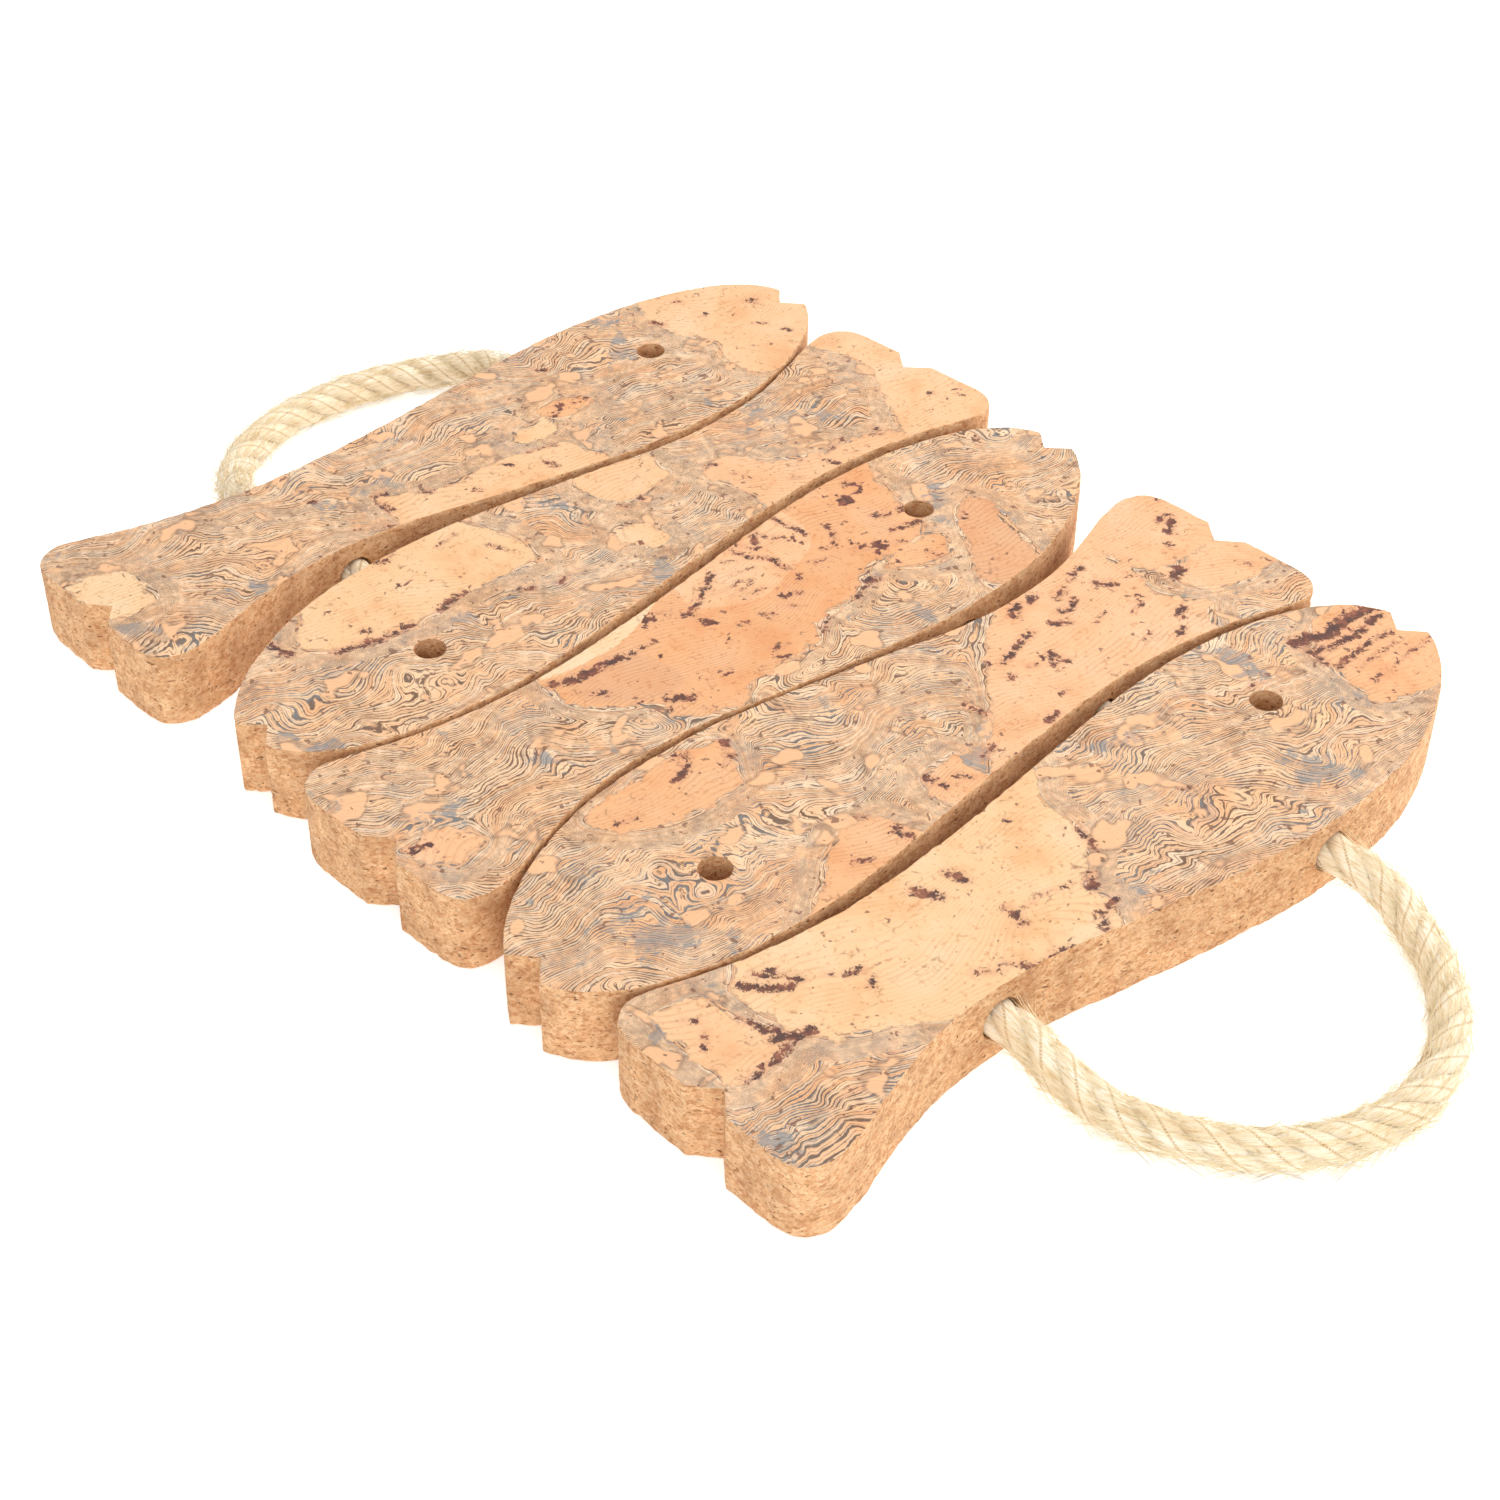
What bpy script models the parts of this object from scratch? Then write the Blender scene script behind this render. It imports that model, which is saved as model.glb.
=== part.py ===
"""Cork trivet: five fish-shaped cork slabs threaded side by side on one rope.

Metres, +Z up.  The origin is under the middle of the middle slab, on the surface that the
trivet lies on.  X runs along the fish, Y across them, and slab 1 is the one furthest along +Y.
Slabs 1, 3 and 5 have their heads towards +X; slabs 2 and 4 are the same fish turned half round.
"""
import math

import bpy
import bmesh
from mathutils import Matrix, Vector

# ---- slabs ----
FISH_LENGTH = 0.2140        # nose to tail
FISH_WIDTH = 0.0573         # deepest belly to highest back, and the scale of every half width
SLAB_THICKNESS = 0.0185     # whole slab, veneer included
VENEER = 0.0009             # marbled sheet on top of the granulated core
TOUCH_GAP = 0.0003          # left between two solids that touch
TAIL_NOTCH = 0.0055         # half width of the V in the tail
TAIL_NOTCH_DEPTH = 0.0047
MOUTH = 0.0048              # half width of the V of the mouth
MOUTH_DEPTH = 0.0044
EYE_DIAMETER = 0.0073
EYE_FROM_NOSE = 0.0462
EYE_ABOVE_AXIS = 0.0045     # towards the back of the fish
OUTLINE_STEP = 0.0045       # longest straight piece along a slab's outline

# Half widths from tail to nose, as (share of the half length, share of FISH_WIDTH).
BACK = (
    (-1.000, 0.350), (-0.988, 0.437), (-0.958, 0.489), (-0.916, 0.502), (-0.840, 0.463),
    (-0.750, 0.410), (-0.610, 0.358), (-0.445, 0.334), (-0.235, 0.349), (0.000, 0.395),
    (0.210, 0.444), (0.400, 0.478), (0.540, 0.479), (0.680, 0.454), (0.795, 0.404),
    (0.888, 0.336), (0.958, 0.240), (0.990, 0.153), (1.000, 0.100),
)
BELLY = (
    (-1.000, 0.314), (-0.988, 0.393), (-0.958, 0.437), (-0.916, 0.450), (-0.840, 0.422),
    (-0.750, 0.367), (-0.610, 0.301), (-0.458, 0.282), (-0.304, 0.307), (-0.140, 0.371),
    (0.000, 0.425), (0.164, 0.480), (0.304, 0.513), (0.444, 0.521), (0.584, 0.502),
    (0.700, 0.454), (0.818, 0.367), (0.911, 0.262), (0.972, 0.157), (1.000, 0.084),
)

# ---- how the slabs lie: backs face backs and bellies face bellies ----
GAP_12 = 0.0029             # at the middle of the slabs
GAP_23 = 0.0039
GAP_34 = 0.0008
GAP_45 = 0.0047
SHIFT = {1: 0.0029, 2: 0.0031, 3: 0.0, 4: -0.0011, 5: 0.0002}        # along X
SKEW = {1: -0.0026, 2: 0.0044, 3: 0.0031, 4: -0.0006, 5: -0.0011}    # rise of the +X end

# ---- rope ----
ROPE_DIAMETER = 0.0080
HOLE_CLEARANCE = 0.00075    # round the rope, in the slabs
EYE_TO_LEFT_PASS = 0.0158   # along X, from the eyes of slabs 2 and 4
EYE_TO_RIGHT_PASS = 0.0203  # along X, from the eyes of slabs 1, 3 and 5
LINK_DEPTH = 0.0130         # of the stretch that crosses a gap, inside the slab it slides from
HANDLE_STANDOFF = 0.0020    # from the mouth of a hole to where the handle bends

# Handle routes, as (share of the way from left to right hole, way out, share of the hole's height).
FRONT_ROUTE = (
    (0.000, 0.0000, 1.00), (-0.004, 0.0060, 0.89), (-0.008, 0.0130, 0.52), (0.000, 0.0222, 0.11),
    (0.028, 0.0314, 0.00), (0.084, 0.0407, 0.00), (0.177, 0.0494, 0.00), (0.316, 0.0548, 0.00),
    (0.480, 0.0558, 0.00), (0.643, 0.0516, 0.00), (0.788, 0.0430, 0.00), (0.903, 0.0318, 0.00),
    (0.972, 0.0207, 0.16), (0.999, 0.0117, 0.62), (1.003, 0.0055, 0.91), (1.000, 0.0000, 1.00),
)
REAR_ROUTE = (
    (0.000, 0.0000, 1.00), (0.004, 0.0070, 0.85), (0.034, 0.0158, 0.42), (0.104, 0.0242, 0.07),
    (0.224, 0.0311, 0.00), (0.374, 0.0344, 0.00), (0.515, 0.0348, 0.00), (0.655, 0.0328, 0.00),
    (0.785, 0.0290, 0.00), (0.893, 0.0235, 0.08), (0.964, 0.0165, 0.42), (0.998, 0.0090, 0.78),
    (1.002, 0.0036, 0.96), (1.000, 0.0000, 1.00),
)
HANDLE_POINTS = 26          # along each handle's tube
HANDLE_STRAIGHT = 0.0030    # square to the hole at each end of a handle

SLABS = (1, 2, 3, 4, 5)
HALF_LENGTH = FISH_LENGTH / 2
HOLE_HEIGHT = SLAB_THICKNESS / 2
ROPE_RADIUS = ROPE_DIAMETER / 2
EYE_X = HALF_LENGTH - EYE_FROM_NOSE
PASS_X = {"left": -EYE_X + EYE_TO_LEFT_PASS, "right": EYE_X - EYE_TO_RIGHT_PASS}


def half_width(side, share):
    """Half width at a control point of BACK or BELLY, in metres."""
    return dict(side)[share] * FISH_WIDTH


BACK_PITCH = 2 * half_width(BACK, 0.0)
BELLY_PITCH = 2 * half_width(BELLY, 0.0)
SLAB_Y = {
    1: BELLY_PITCH + GAP_12 + BACK_PITCH + GAP_23,
    2: BACK_PITCH + GAP_23,
    3: 0.0,
    4: -(BELLY_PITCH + GAP_34),
    5: -(BELLY_PITCH + GAP_34 + BACK_PITCH + GAP_45),
}


def clear_scene():
    """Remove whatever the open file holds."""
    for old in list(bpy.data.objects):
        bpy.data.objects.remove(old, do_unlink=True)


def new_collection(name):
    """A collection linked to the scene."""
    made = bpy.data.collections.new(name)
    bpy.context.scene.collection.children.link(made)
    return made


def new_material(name, colour, roughness):
    """A plain Principled material."""
    made = bpy.data.materials.new(name)
    made.use_nodes = True
    shader = made.node_tree.nodes["Principled BSDF"]
    shader.inputs["Base Color"].default_value = (*colour, 1.0)
    shader.inputs["Roughness"].default_value = roughness
    shader.inputs["Metallic"].default_value = 0.0
    return made


def move_to(obj, collection):
    """Link an object in one collection only."""
    for old in list(obj.users_collection):
        old.objects.unlink(obj)
    collection.objects.link(obj)


def smooth_curve(points, step):
    """Points at most one step apart on a Catmull-Rom curve through the given ones."""
    knots = [Vector(p) for p in points]
    knots = [2 * knots[0] - knots[1]] + knots + [2 * knots[-1] - knots[-2]]
    made = []
    for before, a, b, after in zip(knots, knots[1:], knots[2:], knots[3:]):
        count = max(1, math.ceil((b - a).length / step))
        for i in range(count):
            t = i / count
            slope_a = (b - before) / 2
            slope_b = (after - a) / 2
            made.append(
                a * (2 * t**3 - 3 * t**2 + 1) + b * (3 * t**2 - 2 * t**3)
                + slope_a * (t**3 - 2 * t**2 + t) + slope_b * (t**3 - t**2)
            )
    made.append(knots[-2])
    return made


def even_points(points, count):
    """The same path, with a given number of evenly spaced points."""
    lengths = [0.0]
    for a, b in zip(points, points[1:]):
        lengths.append(lengths[-1] + (b - a).length)
    made = []
    i = 0
    for k in range(count):
        want = lengths[-1] * k / (count - 1)
        while i < len(points) - 2 and lengths[i + 1] < want:
            i += 1
        share = (want - lengths[i]) / (lengths[i + 1] - lengths[i])
        made.append(points[i].lerp(points[i + 1], min(1.0, share)))
    return made


def fish_outline():
    """The slab's outline in its own frame, head towards +X and back towards +Y."""
    back = [(HALF_LENGTH * s, FISH_WIDTH * w, 0.0) for s, w in BACK]
    belly = [(HALF_LENGTH * s, -FISH_WIDTH * w, 0.0) for s, w in BELLY]
    notch = [
        Vector((-HALF_LENGTH, -TAIL_NOTCH, 0.0)),
        Vector((-HALF_LENGTH + TAIL_NOTCH_DEPTH, 0.0, 0.0)),
        Vector((-HALF_LENGTH, TAIL_NOTCH, 0.0)),
    ]
    lip = (BACK[-1][1] - BELLY[-1][1]) / 2 * FISH_WIDTH
    corner = Vector((HALF_LENGTH - MOUTH_DEPTH, lip, 0.0))
    top = Vector((HALF_LENGTH, lip + MOUTH, 0.0))
    bottom = Vector((HALF_LENGTH, lip - MOUTH, 0.0))
    upper = smooth_curve(back, OUTLINE_STEP)
    lower = smooth_curve(belly, OUTLINE_STEP)
    return notch + upper[:-1] + [top, corner, bottom] + lower[:-1][::-1]


def slab_matrix(number):
    """Where a slab lies: its place, its skew and, for slabs 2 and 4, half a turn."""
    turn = math.atan2(SKEW[number], HALF_LENGTH)
    if number % 2 == 0:
        turn += math.pi
    place = Matrix.Translation((SHIFT[number], SLAB_Y[number], 0.0))
    return place @ Matrix.Rotation(turn, 4, "Z")


def slab_walls(number, x):
    """The slab's two wall positions in Y, front and rear, on a line at this X."""
    points = [slab_matrix(number) @ p for p in fish_outline()]
    crossings = []
    for a, b in zip(points, points[1:] + points[:1]):
        if (a.x - x) * (b.x - x) < 0:
            crossings.append(a.lerp(b, (x - a.x) / (b.x - a.x)).y)
    return min(crossings), max(crossings)


def curve_object(name, points, cyclic, dimensions):
    """A POLY curve object through the points."""
    data = bpy.data.curves.new(name, "CURVE")
    data.dimensions = dimensions
    spline = data.splines.new("POLY")
    spline.points.add(len(points) - 1)
    for slot, p in zip(spline.points, points):
        slot.co = (*p, 1.0)
    spline.use_cyclic_u = cyclic
    obj = bpy.data.objects.new(name, data)
    bpy.context.scene.collection.objects.link(obj)
    return obj


def made_mesh(obj, name, collection, material):
    """The evaluated object as a welded mesh object, in place of the curve."""
    bpy.context.view_layer.update()
    graph = bpy.context.evaluated_depsgraph_get()
    mesh = bpy.data.meshes.new_from_object(obj.evaluated_get(graph))
    mesh.name = name
    work = bmesh.new()
    work.from_mesh(mesh)
    bmesh.ops.remove_doubles(work, verts=work.verts, dist=1e-6)
    bmesh.ops.recalc_face_normals(work, faces=work.faces)
    work.to_mesh(mesh)
    work.free()
    made = bpy.data.objects.new(name, mesh)
    made.matrix_world = obj.matrix_world.copy()
    bpy.data.objects.remove(obj, do_unlink=True)
    collection.objects.link(made)
    made.name = name
    mesh.materials.clear()
    mesh.materials.append(material)
    return made


def extruded_slab(name, number, z_low, z_high, collection, material):
    """The fish outline between two heights, placed where the slab lies."""
    curve = curve_object(name + "_outline", fish_outline(), True, "2D")
    curve.data.fill_mode = "BOTH"
    curve.data.extrude = (z_high - z_low) / 2
    lift = Matrix.Translation((0.0, 0.0, (z_high + z_low) / 2))
    curve.matrix_world = slab_matrix(number) @ lift
    return made_mesh(curve, name, collection, material)


def cylinder(name, radius, start, end, sides, collection):
    """A cylinder between two points."""
    axis = Vector(end) - Vector(start)
    bpy.ops.mesh.primitive_cylinder_add(vertices=sides, radius=radius, depth=axis.length)
    made = bpy.context.active_object
    made.name = name
    turn = Vector((0.0, 0.0, 1.0)).rotation_difference(axis).to_matrix().to_4x4()
    made.matrix_world = Matrix.Translation((Vector(start) + Vector(end)) / 2) @ turn
    move_to(made, collection)
    return made


def cut(obj, cutter):
    """Subtract the cutter from the object with a live Boolean."""
    cutter.hide_render = True
    cutter.display_type = "WIRE"
    boolean = obj.modifiers.new(cutter.name, "BOOLEAN")
    boolean.operation = "DIFFERENCE"
    boolean.solver = "EXACT"
    boolean.object = cutter


def pivot(name, parent, location, collection):
    """An empty on a joint's axis, which a body's pieces hang from."""
    made = bpy.data.objects.new(name, None)
    made.empty_display_size = 0.01
    collection.objects.link(made)
    made.location = location
    if parent is not None:
        made.parent = parent
        made.matrix_parent_inverse = parent.matrix_world.inverted()
    bpy.context.view_layer.update()
    return made


def attach(obj, parent):
    """Parent an object to a pivot without moving it."""
    obj.parent = parent
    obj.matrix_parent_inverse = parent.matrix_world.inverted()


def add_slab(number, parent, parts, cutters, cork, marbled):
    """One fish: a granulated cork core with two rope holes, its veneer, and the eye through both."""
    core_top = SLAB_THICKNESS - VENEER - TOUCH_GAP
    core = extruded_slab(f"fish_{number}_core", number, 0.0, core_top, parts, cork)
    veneer = extruded_slab(
        f"fish_{number}_veneer", number, SLAB_THICKNESS - VENEER, SLAB_THICKNESS, parts, marbled
    )
    eye = slab_matrix(number) @ Vector((EYE_X, EYE_ABOVE_AXIS, 0.0))
    below = eye - Vector((0.0, 0.0, SLAB_THICKNESS))
    above = eye + Vector((0.0, 0.0, 2 * SLAB_THICKNESS))
    eye_cutter = cylinder(f"eye_{number}", EYE_DIAMETER / 2, below, above, 24, cutters)
    cut(core, eye_cutter)
    cut(veneer, eye_cutter)
    for side, x in PASS_X.items():
        front = Vector((x, SLAB_Y[number] - FISH_WIDTH, HOLE_HEIGHT))
        rear = Vector((x, SLAB_Y[number] + FISH_WIDTH, HOLE_HEIGHT))
        radius = ROPE_RADIUS + HOLE_CLEARANCE
        cut(core, cylinder(f"hole_{number}_{side}", radius, front, rear, 24, cutters))
    attach(core, parent)
    attach(veneer, parent)


def rope_stretch(name, x, y_start, y_end, parent, parts, rope):
    """A straight stretch of rope along Y, shortened at both ends by half a touching gap."""
    low = min(y_start, y_end) + TOUCH_GAP / 2
    high = max(y_start, y_end) - TOUCH_GAP / 2
    made = cylinder(name, ROPE_RADIUS, (x, low, HOLE_HEIGHT), (x, high, HOLE_HEIGHT), 12, parts)
    made.data.materials.append(rope)
    made.data.shade_smooth()
    made.data.set_sharp_from_angle(angle=math.radians(40))
    attach(made, parent)


def handle_start(number, side, out):
    """Where a handle begins: on the rope, just outside the end slab's wall."""
    front, rear = slab_walls(number, PASS_X[side])
    wall = rear if out > 0 else front
    return Vector((PASS_X[side], wall + out * HANDLE_STANDOFF, HOLE_HEIGHT))


def add_handle(name, number, out, route, parent, parts, rope):
    """A free loop of rope from one hole to the other, lying on the surface at its far end."""
    left = handle_start(number, "left", out)
    right = handle_start(number, "right", out)
    points = []
    for share, way_out, height in route:
        p = left.lerp(right, share)
        p.y += out * (way_out + TOUCH_GAP / 2)
        p.z = ROPE_RADIUS + TOUCH_GAP + height * (HOLE_HEIGHT - ROPE_RADIUS - TOUCH_GAP)
        points.append(p)
    path = even_points(smooth_curve(points, 0.001), HANDLE_POINTS)
    straight = Vector((0.0, out * HANDLE_STRAIGHT, 0.0))
    path = [path[0], path[0] + straight] + path[1:-1] + [path[-1] + straight, path[-1]]
    curve = curve_object(name + "_path", path, False, "3D")
    curve.data.bevel_depth = ROPE_RADIUS
    curve.data.bevel_resolution = 3
    curve.data.use_fill_caps = True
    made = made_mesh(curve, name, parts, rope)
    made.data.shade_smooth()
    made.data.set_sharp_from_angle(angle=math.radians(40))
    attach(made, parent)


def fold_axis(a, b):
    """A point on the hinge line between two neighbouring slabs, at their top edges."""
    return Vector((0.0, (SLAB_Y[a] + SLAB_Y[b]) / 2, SLAB_THICKNESS))


def add_rope_in_slab(number, parent, parts, rope):
    """The rope that a slab holds, up to where the stretch that crosses the next gap begins."""
    for side, x in PASS_X.items():
        front, rear = slab_walls(number, x)
        start = rear
        end = front
        if number >= 3:
            end = front + LINK_DEPTH if number < 5 else front - HANDLE_STANDOFF
        if number <= 3:
            start = rear - LINK_DEPTH if number > 1 else rear + HANDLE_STANDOFF
        rope_stretch(f"rope_in_fish_{number}_{side}", x, start, end, parent, parts, rope)


def add_rope_in_gap(inner, outer, parent, parts, rope):
    """The two stretches of rope that cross a gap, from inside the inner slab to the outer one."""
    for side, x in PASS_X.items():
        inner_front, inner_rear = slab_walls(inner, x)
        outer_front, outer_rear = slab_walls(outer, x)
        if outer > inner:
            start, end = inner_front + LINK_DEPTH, outer_rear
        else:
            start, end = inner_rear - LINK_DEPTH, outer_front
        name = f"rope_gap_{min(inner, outer)}{max(inner, outer)}_{side}"
        rope_stretch(name, x, start, end, parent, parts, rope)


def build():
    """Make the whole trivet, slab by slab outwards from the middle one."""
    clear_scene()
    parts = new_collection("fish_trivet")
    cutters = new_collection("cutters")
    cork = new_material("granulated_cork", (0.66, 0.36, 0.17), 0.9)
    marbled = new_material("marbled_cork", (0.72, 0.50, 0.32), 0.75)
    rope = new_material("sisal_rope", (0.82, 0.70, 0.46), 0.85)

    middle = pivot("fish_3_body", None, (0.0, 0.0, 0.0), parts)
    add_slab(3, middle, parts, cutters, cork, marbled)
    add_rope_in_slab(3, middle, parts, rope)
    for step in (1, -1):
        inner_body = middle
        for inner in (3, 3 + step):
            outer = inner + step
            axis = fold_axis(inner, outer)
            pair = f"{min(inner, outer)}{max(inner, outer)}"
            link = pivot(f"link_{pair}_body", inner_body, axis, parts)
            add_rope_in_gap(inner, outer, link, parts, rope)
            inner_body = pivot(f"fish_{outer}_body", link, axis, parts)
            add_slab(outer, inner_body, parts, cutters, cork, marbled)
            add_rope_in_slab(outer, inner_body, parts, rope)
        end = 3 + 2 * step
        out = -step
        hinge = handle_start(end, "left", out) + Vector((0.0, 0.0, ROPE_RADIUS))
        name = "front_handle" if step > 0 else "rear_handle"
        route = FRONT_ROUTE if step > 0 else REAR_ROUTE
        handle = pivot(name + "_body", inner_body, hinge, parts)
        add_handle(name, end, out, route, handle, parts, rope)


build()
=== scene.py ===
import math

import bmesh
import bpy
import numpy as np
from mathutils import Matrix, Vector
from mathutils.geometry import delaunay_2d_cdt


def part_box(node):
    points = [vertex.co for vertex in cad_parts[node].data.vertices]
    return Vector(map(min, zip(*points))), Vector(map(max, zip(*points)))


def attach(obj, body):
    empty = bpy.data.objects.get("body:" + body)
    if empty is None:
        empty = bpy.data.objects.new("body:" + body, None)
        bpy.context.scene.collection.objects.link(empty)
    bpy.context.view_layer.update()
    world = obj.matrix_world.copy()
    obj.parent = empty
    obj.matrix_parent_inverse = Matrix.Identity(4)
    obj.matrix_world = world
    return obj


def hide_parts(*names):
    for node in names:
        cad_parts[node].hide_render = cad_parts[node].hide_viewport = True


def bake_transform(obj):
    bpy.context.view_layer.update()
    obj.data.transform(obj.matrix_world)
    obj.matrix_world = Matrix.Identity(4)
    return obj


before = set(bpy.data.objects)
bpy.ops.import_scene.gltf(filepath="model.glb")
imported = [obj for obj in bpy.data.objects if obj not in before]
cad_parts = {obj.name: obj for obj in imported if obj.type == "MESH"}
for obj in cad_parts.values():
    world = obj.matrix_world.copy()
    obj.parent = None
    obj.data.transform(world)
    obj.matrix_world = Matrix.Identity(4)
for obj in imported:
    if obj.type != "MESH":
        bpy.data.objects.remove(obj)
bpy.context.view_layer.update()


# ---- Table, light and camera --------------------------------------------------
# The trivet lies on a bright white table under a large soft light, with a little
# more light from the right. The camera stands at the front left, about 40 degrees
# above the table.

CAMERA_PLACE = Vector((-0.3284, -0.3366, 0.3630))
CAMERA_RIGHT = Vector((0.7200, -0.6940, 0.0069))
CAMERA_UP = Vector((0.4327, 0.4566, 0.7774))
CAMERA_BACK = Vector((-0.5426, -0.5567, 0.6290))
LENS = 62.89

camera_data = bpy.data.cameras.new("camera")
camera_data.lens = LENS
camera_data.sensor_width = 36.0
camera_data.clip_start = 0.01
camera = bpy.data.objects.new("camera", camera_data)
bpy.context.scene.collection.objects.link(camera)
turn = Matrix((CAMERA_RIGHT, CAMERA_UP, CAMERA_BACK)).transposed().to_4x4()
camera.matrix_world = Matrix.Translation(CAMERA_PLACE) @ turn
bpy.context.scene.camera = camera
bpy.context.scene.view_settings.view_transform = "Standard"

world = bpy.data.worlds.new("studio")
bpy.context.scene.world = world
world.use_nodes = True
world.node_tree.nodes["Background"].inputs["Color"].default_value = (1.0, 0.99, 0.98, 1.0)
world.node_tree.nodes["Background"].inputs["Strength"].default_value = 0.62


def soft_light(name, place, size, power):
    """A square, slightly warm area light of that size and power, facing the middle of the mat."""
    data = bpy.data.lights.new(name, "AREA")
    data.shape = "SQUARE"
    data.size = size
    data.energy = power
    data.color = (1.0, 0.99, 0.97)
    light = bpy.data.objects.new(name, data)
    bpy.context.scene.collection.objects.link(light)
    light.location = place
    light.rotation_mode = "QUATERNION"
    light.rotation_quaternion = (-Vector(place)).to_track_quat("-Z", "Y")


soft_light("overhead", (0.1, 0.1, 1.1), 0.9, 5.6)
soft_light("right", (1.1, -0.35, 0.55), 0.6, 9.5)
soft_light("front", (-1.1, -1.3, 0.7), 1.0, 12.0)

floor_mesh = bpy.data.meshes.new("table")
floor_mesh.from_pydata([(-6, -6, -2e-4), (6, -6, -2e-4), (6, 6, -2e-4), (-6, 6, -2e-4)], [], [(0, 1, 2, 3)])
table = bpy.data.objects.new("table", floor_mesh)
bpy.context.scene.collection.objects.link(table)
table_paint = bpy.data.materials.new("white_table")
table_paint.use_nodes = True
paint = table_paint.node_tree.nodes["Principled BSDF"]
paint.inputs["Base Color"].default_value = (0.92, 0.92, 0.92, 1.0)
paint.inputs["Roughness"].default_value = 0.9
paint.inputs["Emission Color"].default_value = (1.0, 1.0, 1.0, 1.0)
paint.inputs["Emission Strength"].default_value = 0.45
floor_mesh.materials.append(table_paint)


# ---- Rope ---------------------------------------------------------------------
# One length of three-strand sisal, 8 mm thick, laid to the right. It runs through
# all five slabs on the left, turns round in the front handle, comes back on the
# right and closes in the rear handle.

ROPE_RADIUS = 0.0040
ROPE_TURNS = 29               # whole turns of the strands round the closed rope
TOUCH_GAP = 0.0003            # between CAD pieces that touch
LEFT_PASS = -0.0450
RIGHT_PASS = 0.0405
HOLE_HEIGHT = 0.00925
HANDLE_CLEARANCE = 0.0001     # between the rope and the table
FRONT_ROUTE = (
    (0.000, 0.0000, 1.00), (-0.004, 0.0060, 0.89), (-0.008, 0.0130, 0.52), (0.000, 0.0222, 0.11),
    (0.028, 0.0314, 0.00), (0.084, 0.0407, 0.00), (0.177, 0.0494, 0.00), (0.316, 0.0548, 0.00),
    (0.480, 0.0558, 0.00), (0.643, 0.0516, 0.00), (0.788, 0.0430, 0.00), (0.903, 0.0318, 0.00),
    (0.972, 0.0207, 0.16), (0.999, 0.0117, 0.62), (1.003, 0.0055, 0.91), (1.000, 0.0000, 1.00),
)
REAR_ROUTE = (
    (0.000, 0.0000, 1.00), (0.004, 0.0070, 0.85), (0.034, 0.0158, 0.42), (0.104, 0.0242, 0.07),
    (0.224, 0.0311, 0.00), (0.374, 0.0344, 0.00), (0.515, 0.0348, 0.00), (0.655, 0.0328, 0.00),
    (0.785, 0.0290, 0.00), (0.893, 0.0235, 0.08), (0.964, 0.0165, 0.42), (0.998, 0.0090, 0.78),
    (1.002, 0.0036, 0.96), (1.000, 0.0000, 1.00),
)


def smooth_through(points, steps):
    """A Catmull-Rom curve: between two knots, the cubic whose slope at each knot is half the way between
    its neighbours. Each piece gets the given number of steps."""
    p = np.asarray(points, float)
    p = np.vstack([2 * p[0] - p[1], p, 2 * p[-1] - p[-2]])
    a, b = p[1:-2, None, :], p[2:-1, None, :]
    slope_a, slope_b = (b - p[:-3, None, :]) / 2, (p[3:, None, :] - a) / 2
    t = (np.arange(steps) / steps)[None, :, None]
    curve = (
        a * (2 * t**3 - 3 * t**2 + 1) + b * (3 * t**2 - 2 * t**3)
        + slope_a * (t**3 - 2 * t**2 + t) + slope_b * (t**3 - t**2)
    )
    return np.vstack([curve.reshape(-1, p.shape[1]), p[-2]])


def along(points):
    """Length from the first point to each point of a path."""
    return np.concatenate([[0.0], np.cumsum(np.linalg.norm(np.diff(points, axis=0), axis=1))])


def grain(points, size, seed):
    """Smooth random field from -1 to 1: random values on a cubic lattice of the given size, joined by
    cubic steps."""
    q = np.asarray(points, float) / size + 1000.0
    low = np.floor(q).astype(np.int64)
    f = q - low
    f = f * f * (3 - 2 * f)
    total = np.zeros(len(q))
    for corner in ((x, y, z) for x in (0, 1) for y in (0, 1) for z in (0, 1)):
        cell = low + np.array(corner)
        h = (cell[:, 0] * 73856093) ^ (cell[:, 1] * 19349663) ^ (cell[:, 2] * 83492791) ^ (seed * 2654435)
        h = ((h ^ (h >> 13)) * 1274126177) & 0xFFFFFFFF
        h = ((h ^ (h >> 16)) * 2246822519) & 0xFFFFFFFF
        value = (h ^ (h >> 15)) / 2147483648.0 - 1.0
        total += value * np.prod(np.where(np.array(corner) == 1, f, 1 - f), axis=1)
    return total


def handle_route(route, left, right, out):
    """A handle's centreline, from its left hole to its right one. Each row of the route is the share of
    the way from hole to hole, the distance out from that line, and the height as a share of the
    holes'."""
    share, way_out, height = np.array(route).T
    low = ROPE_RADIUS + TOUCH_GAP
    points = left + share[:, None] * (right - left)
    points[:, 1] += out * (way_out + TOUCH_GAP / 2)
    points[:, 2] = low + height * (HOLE_HEIGHT - low)
    return smooth_through(points, 24)


def hole_mouth(node, x, end):
    """Where a handle leaves the rope that an end slab holds."""
    low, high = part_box(node)
    y = low.y - TOUCH_GAP / 2 if end < 0 else high.y + TOUCH_GAP / 2
    return np.array([x, y, HOLE_HEIGHT])


front_left = hole_mouth("rope_in_fish_5_left", LEFT_PASS, -1)
front_right = hole_mouth("rope_in_fish_5_right", RIGHT_PASS, -1)
rear_left = hole_mouth("rope_in_fish_1_left", LEFT_PASS, 1)
rear_right = hole_mouth("rope_in_fish_1_right", RIGHT_PASS, 1)
front_loop = handle_route(FRONT_ROUTE, front_left, front_right, -1)
rear_loop = handle_route(REAR_ROUTE, rear_left, rear_right, 1)

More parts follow.
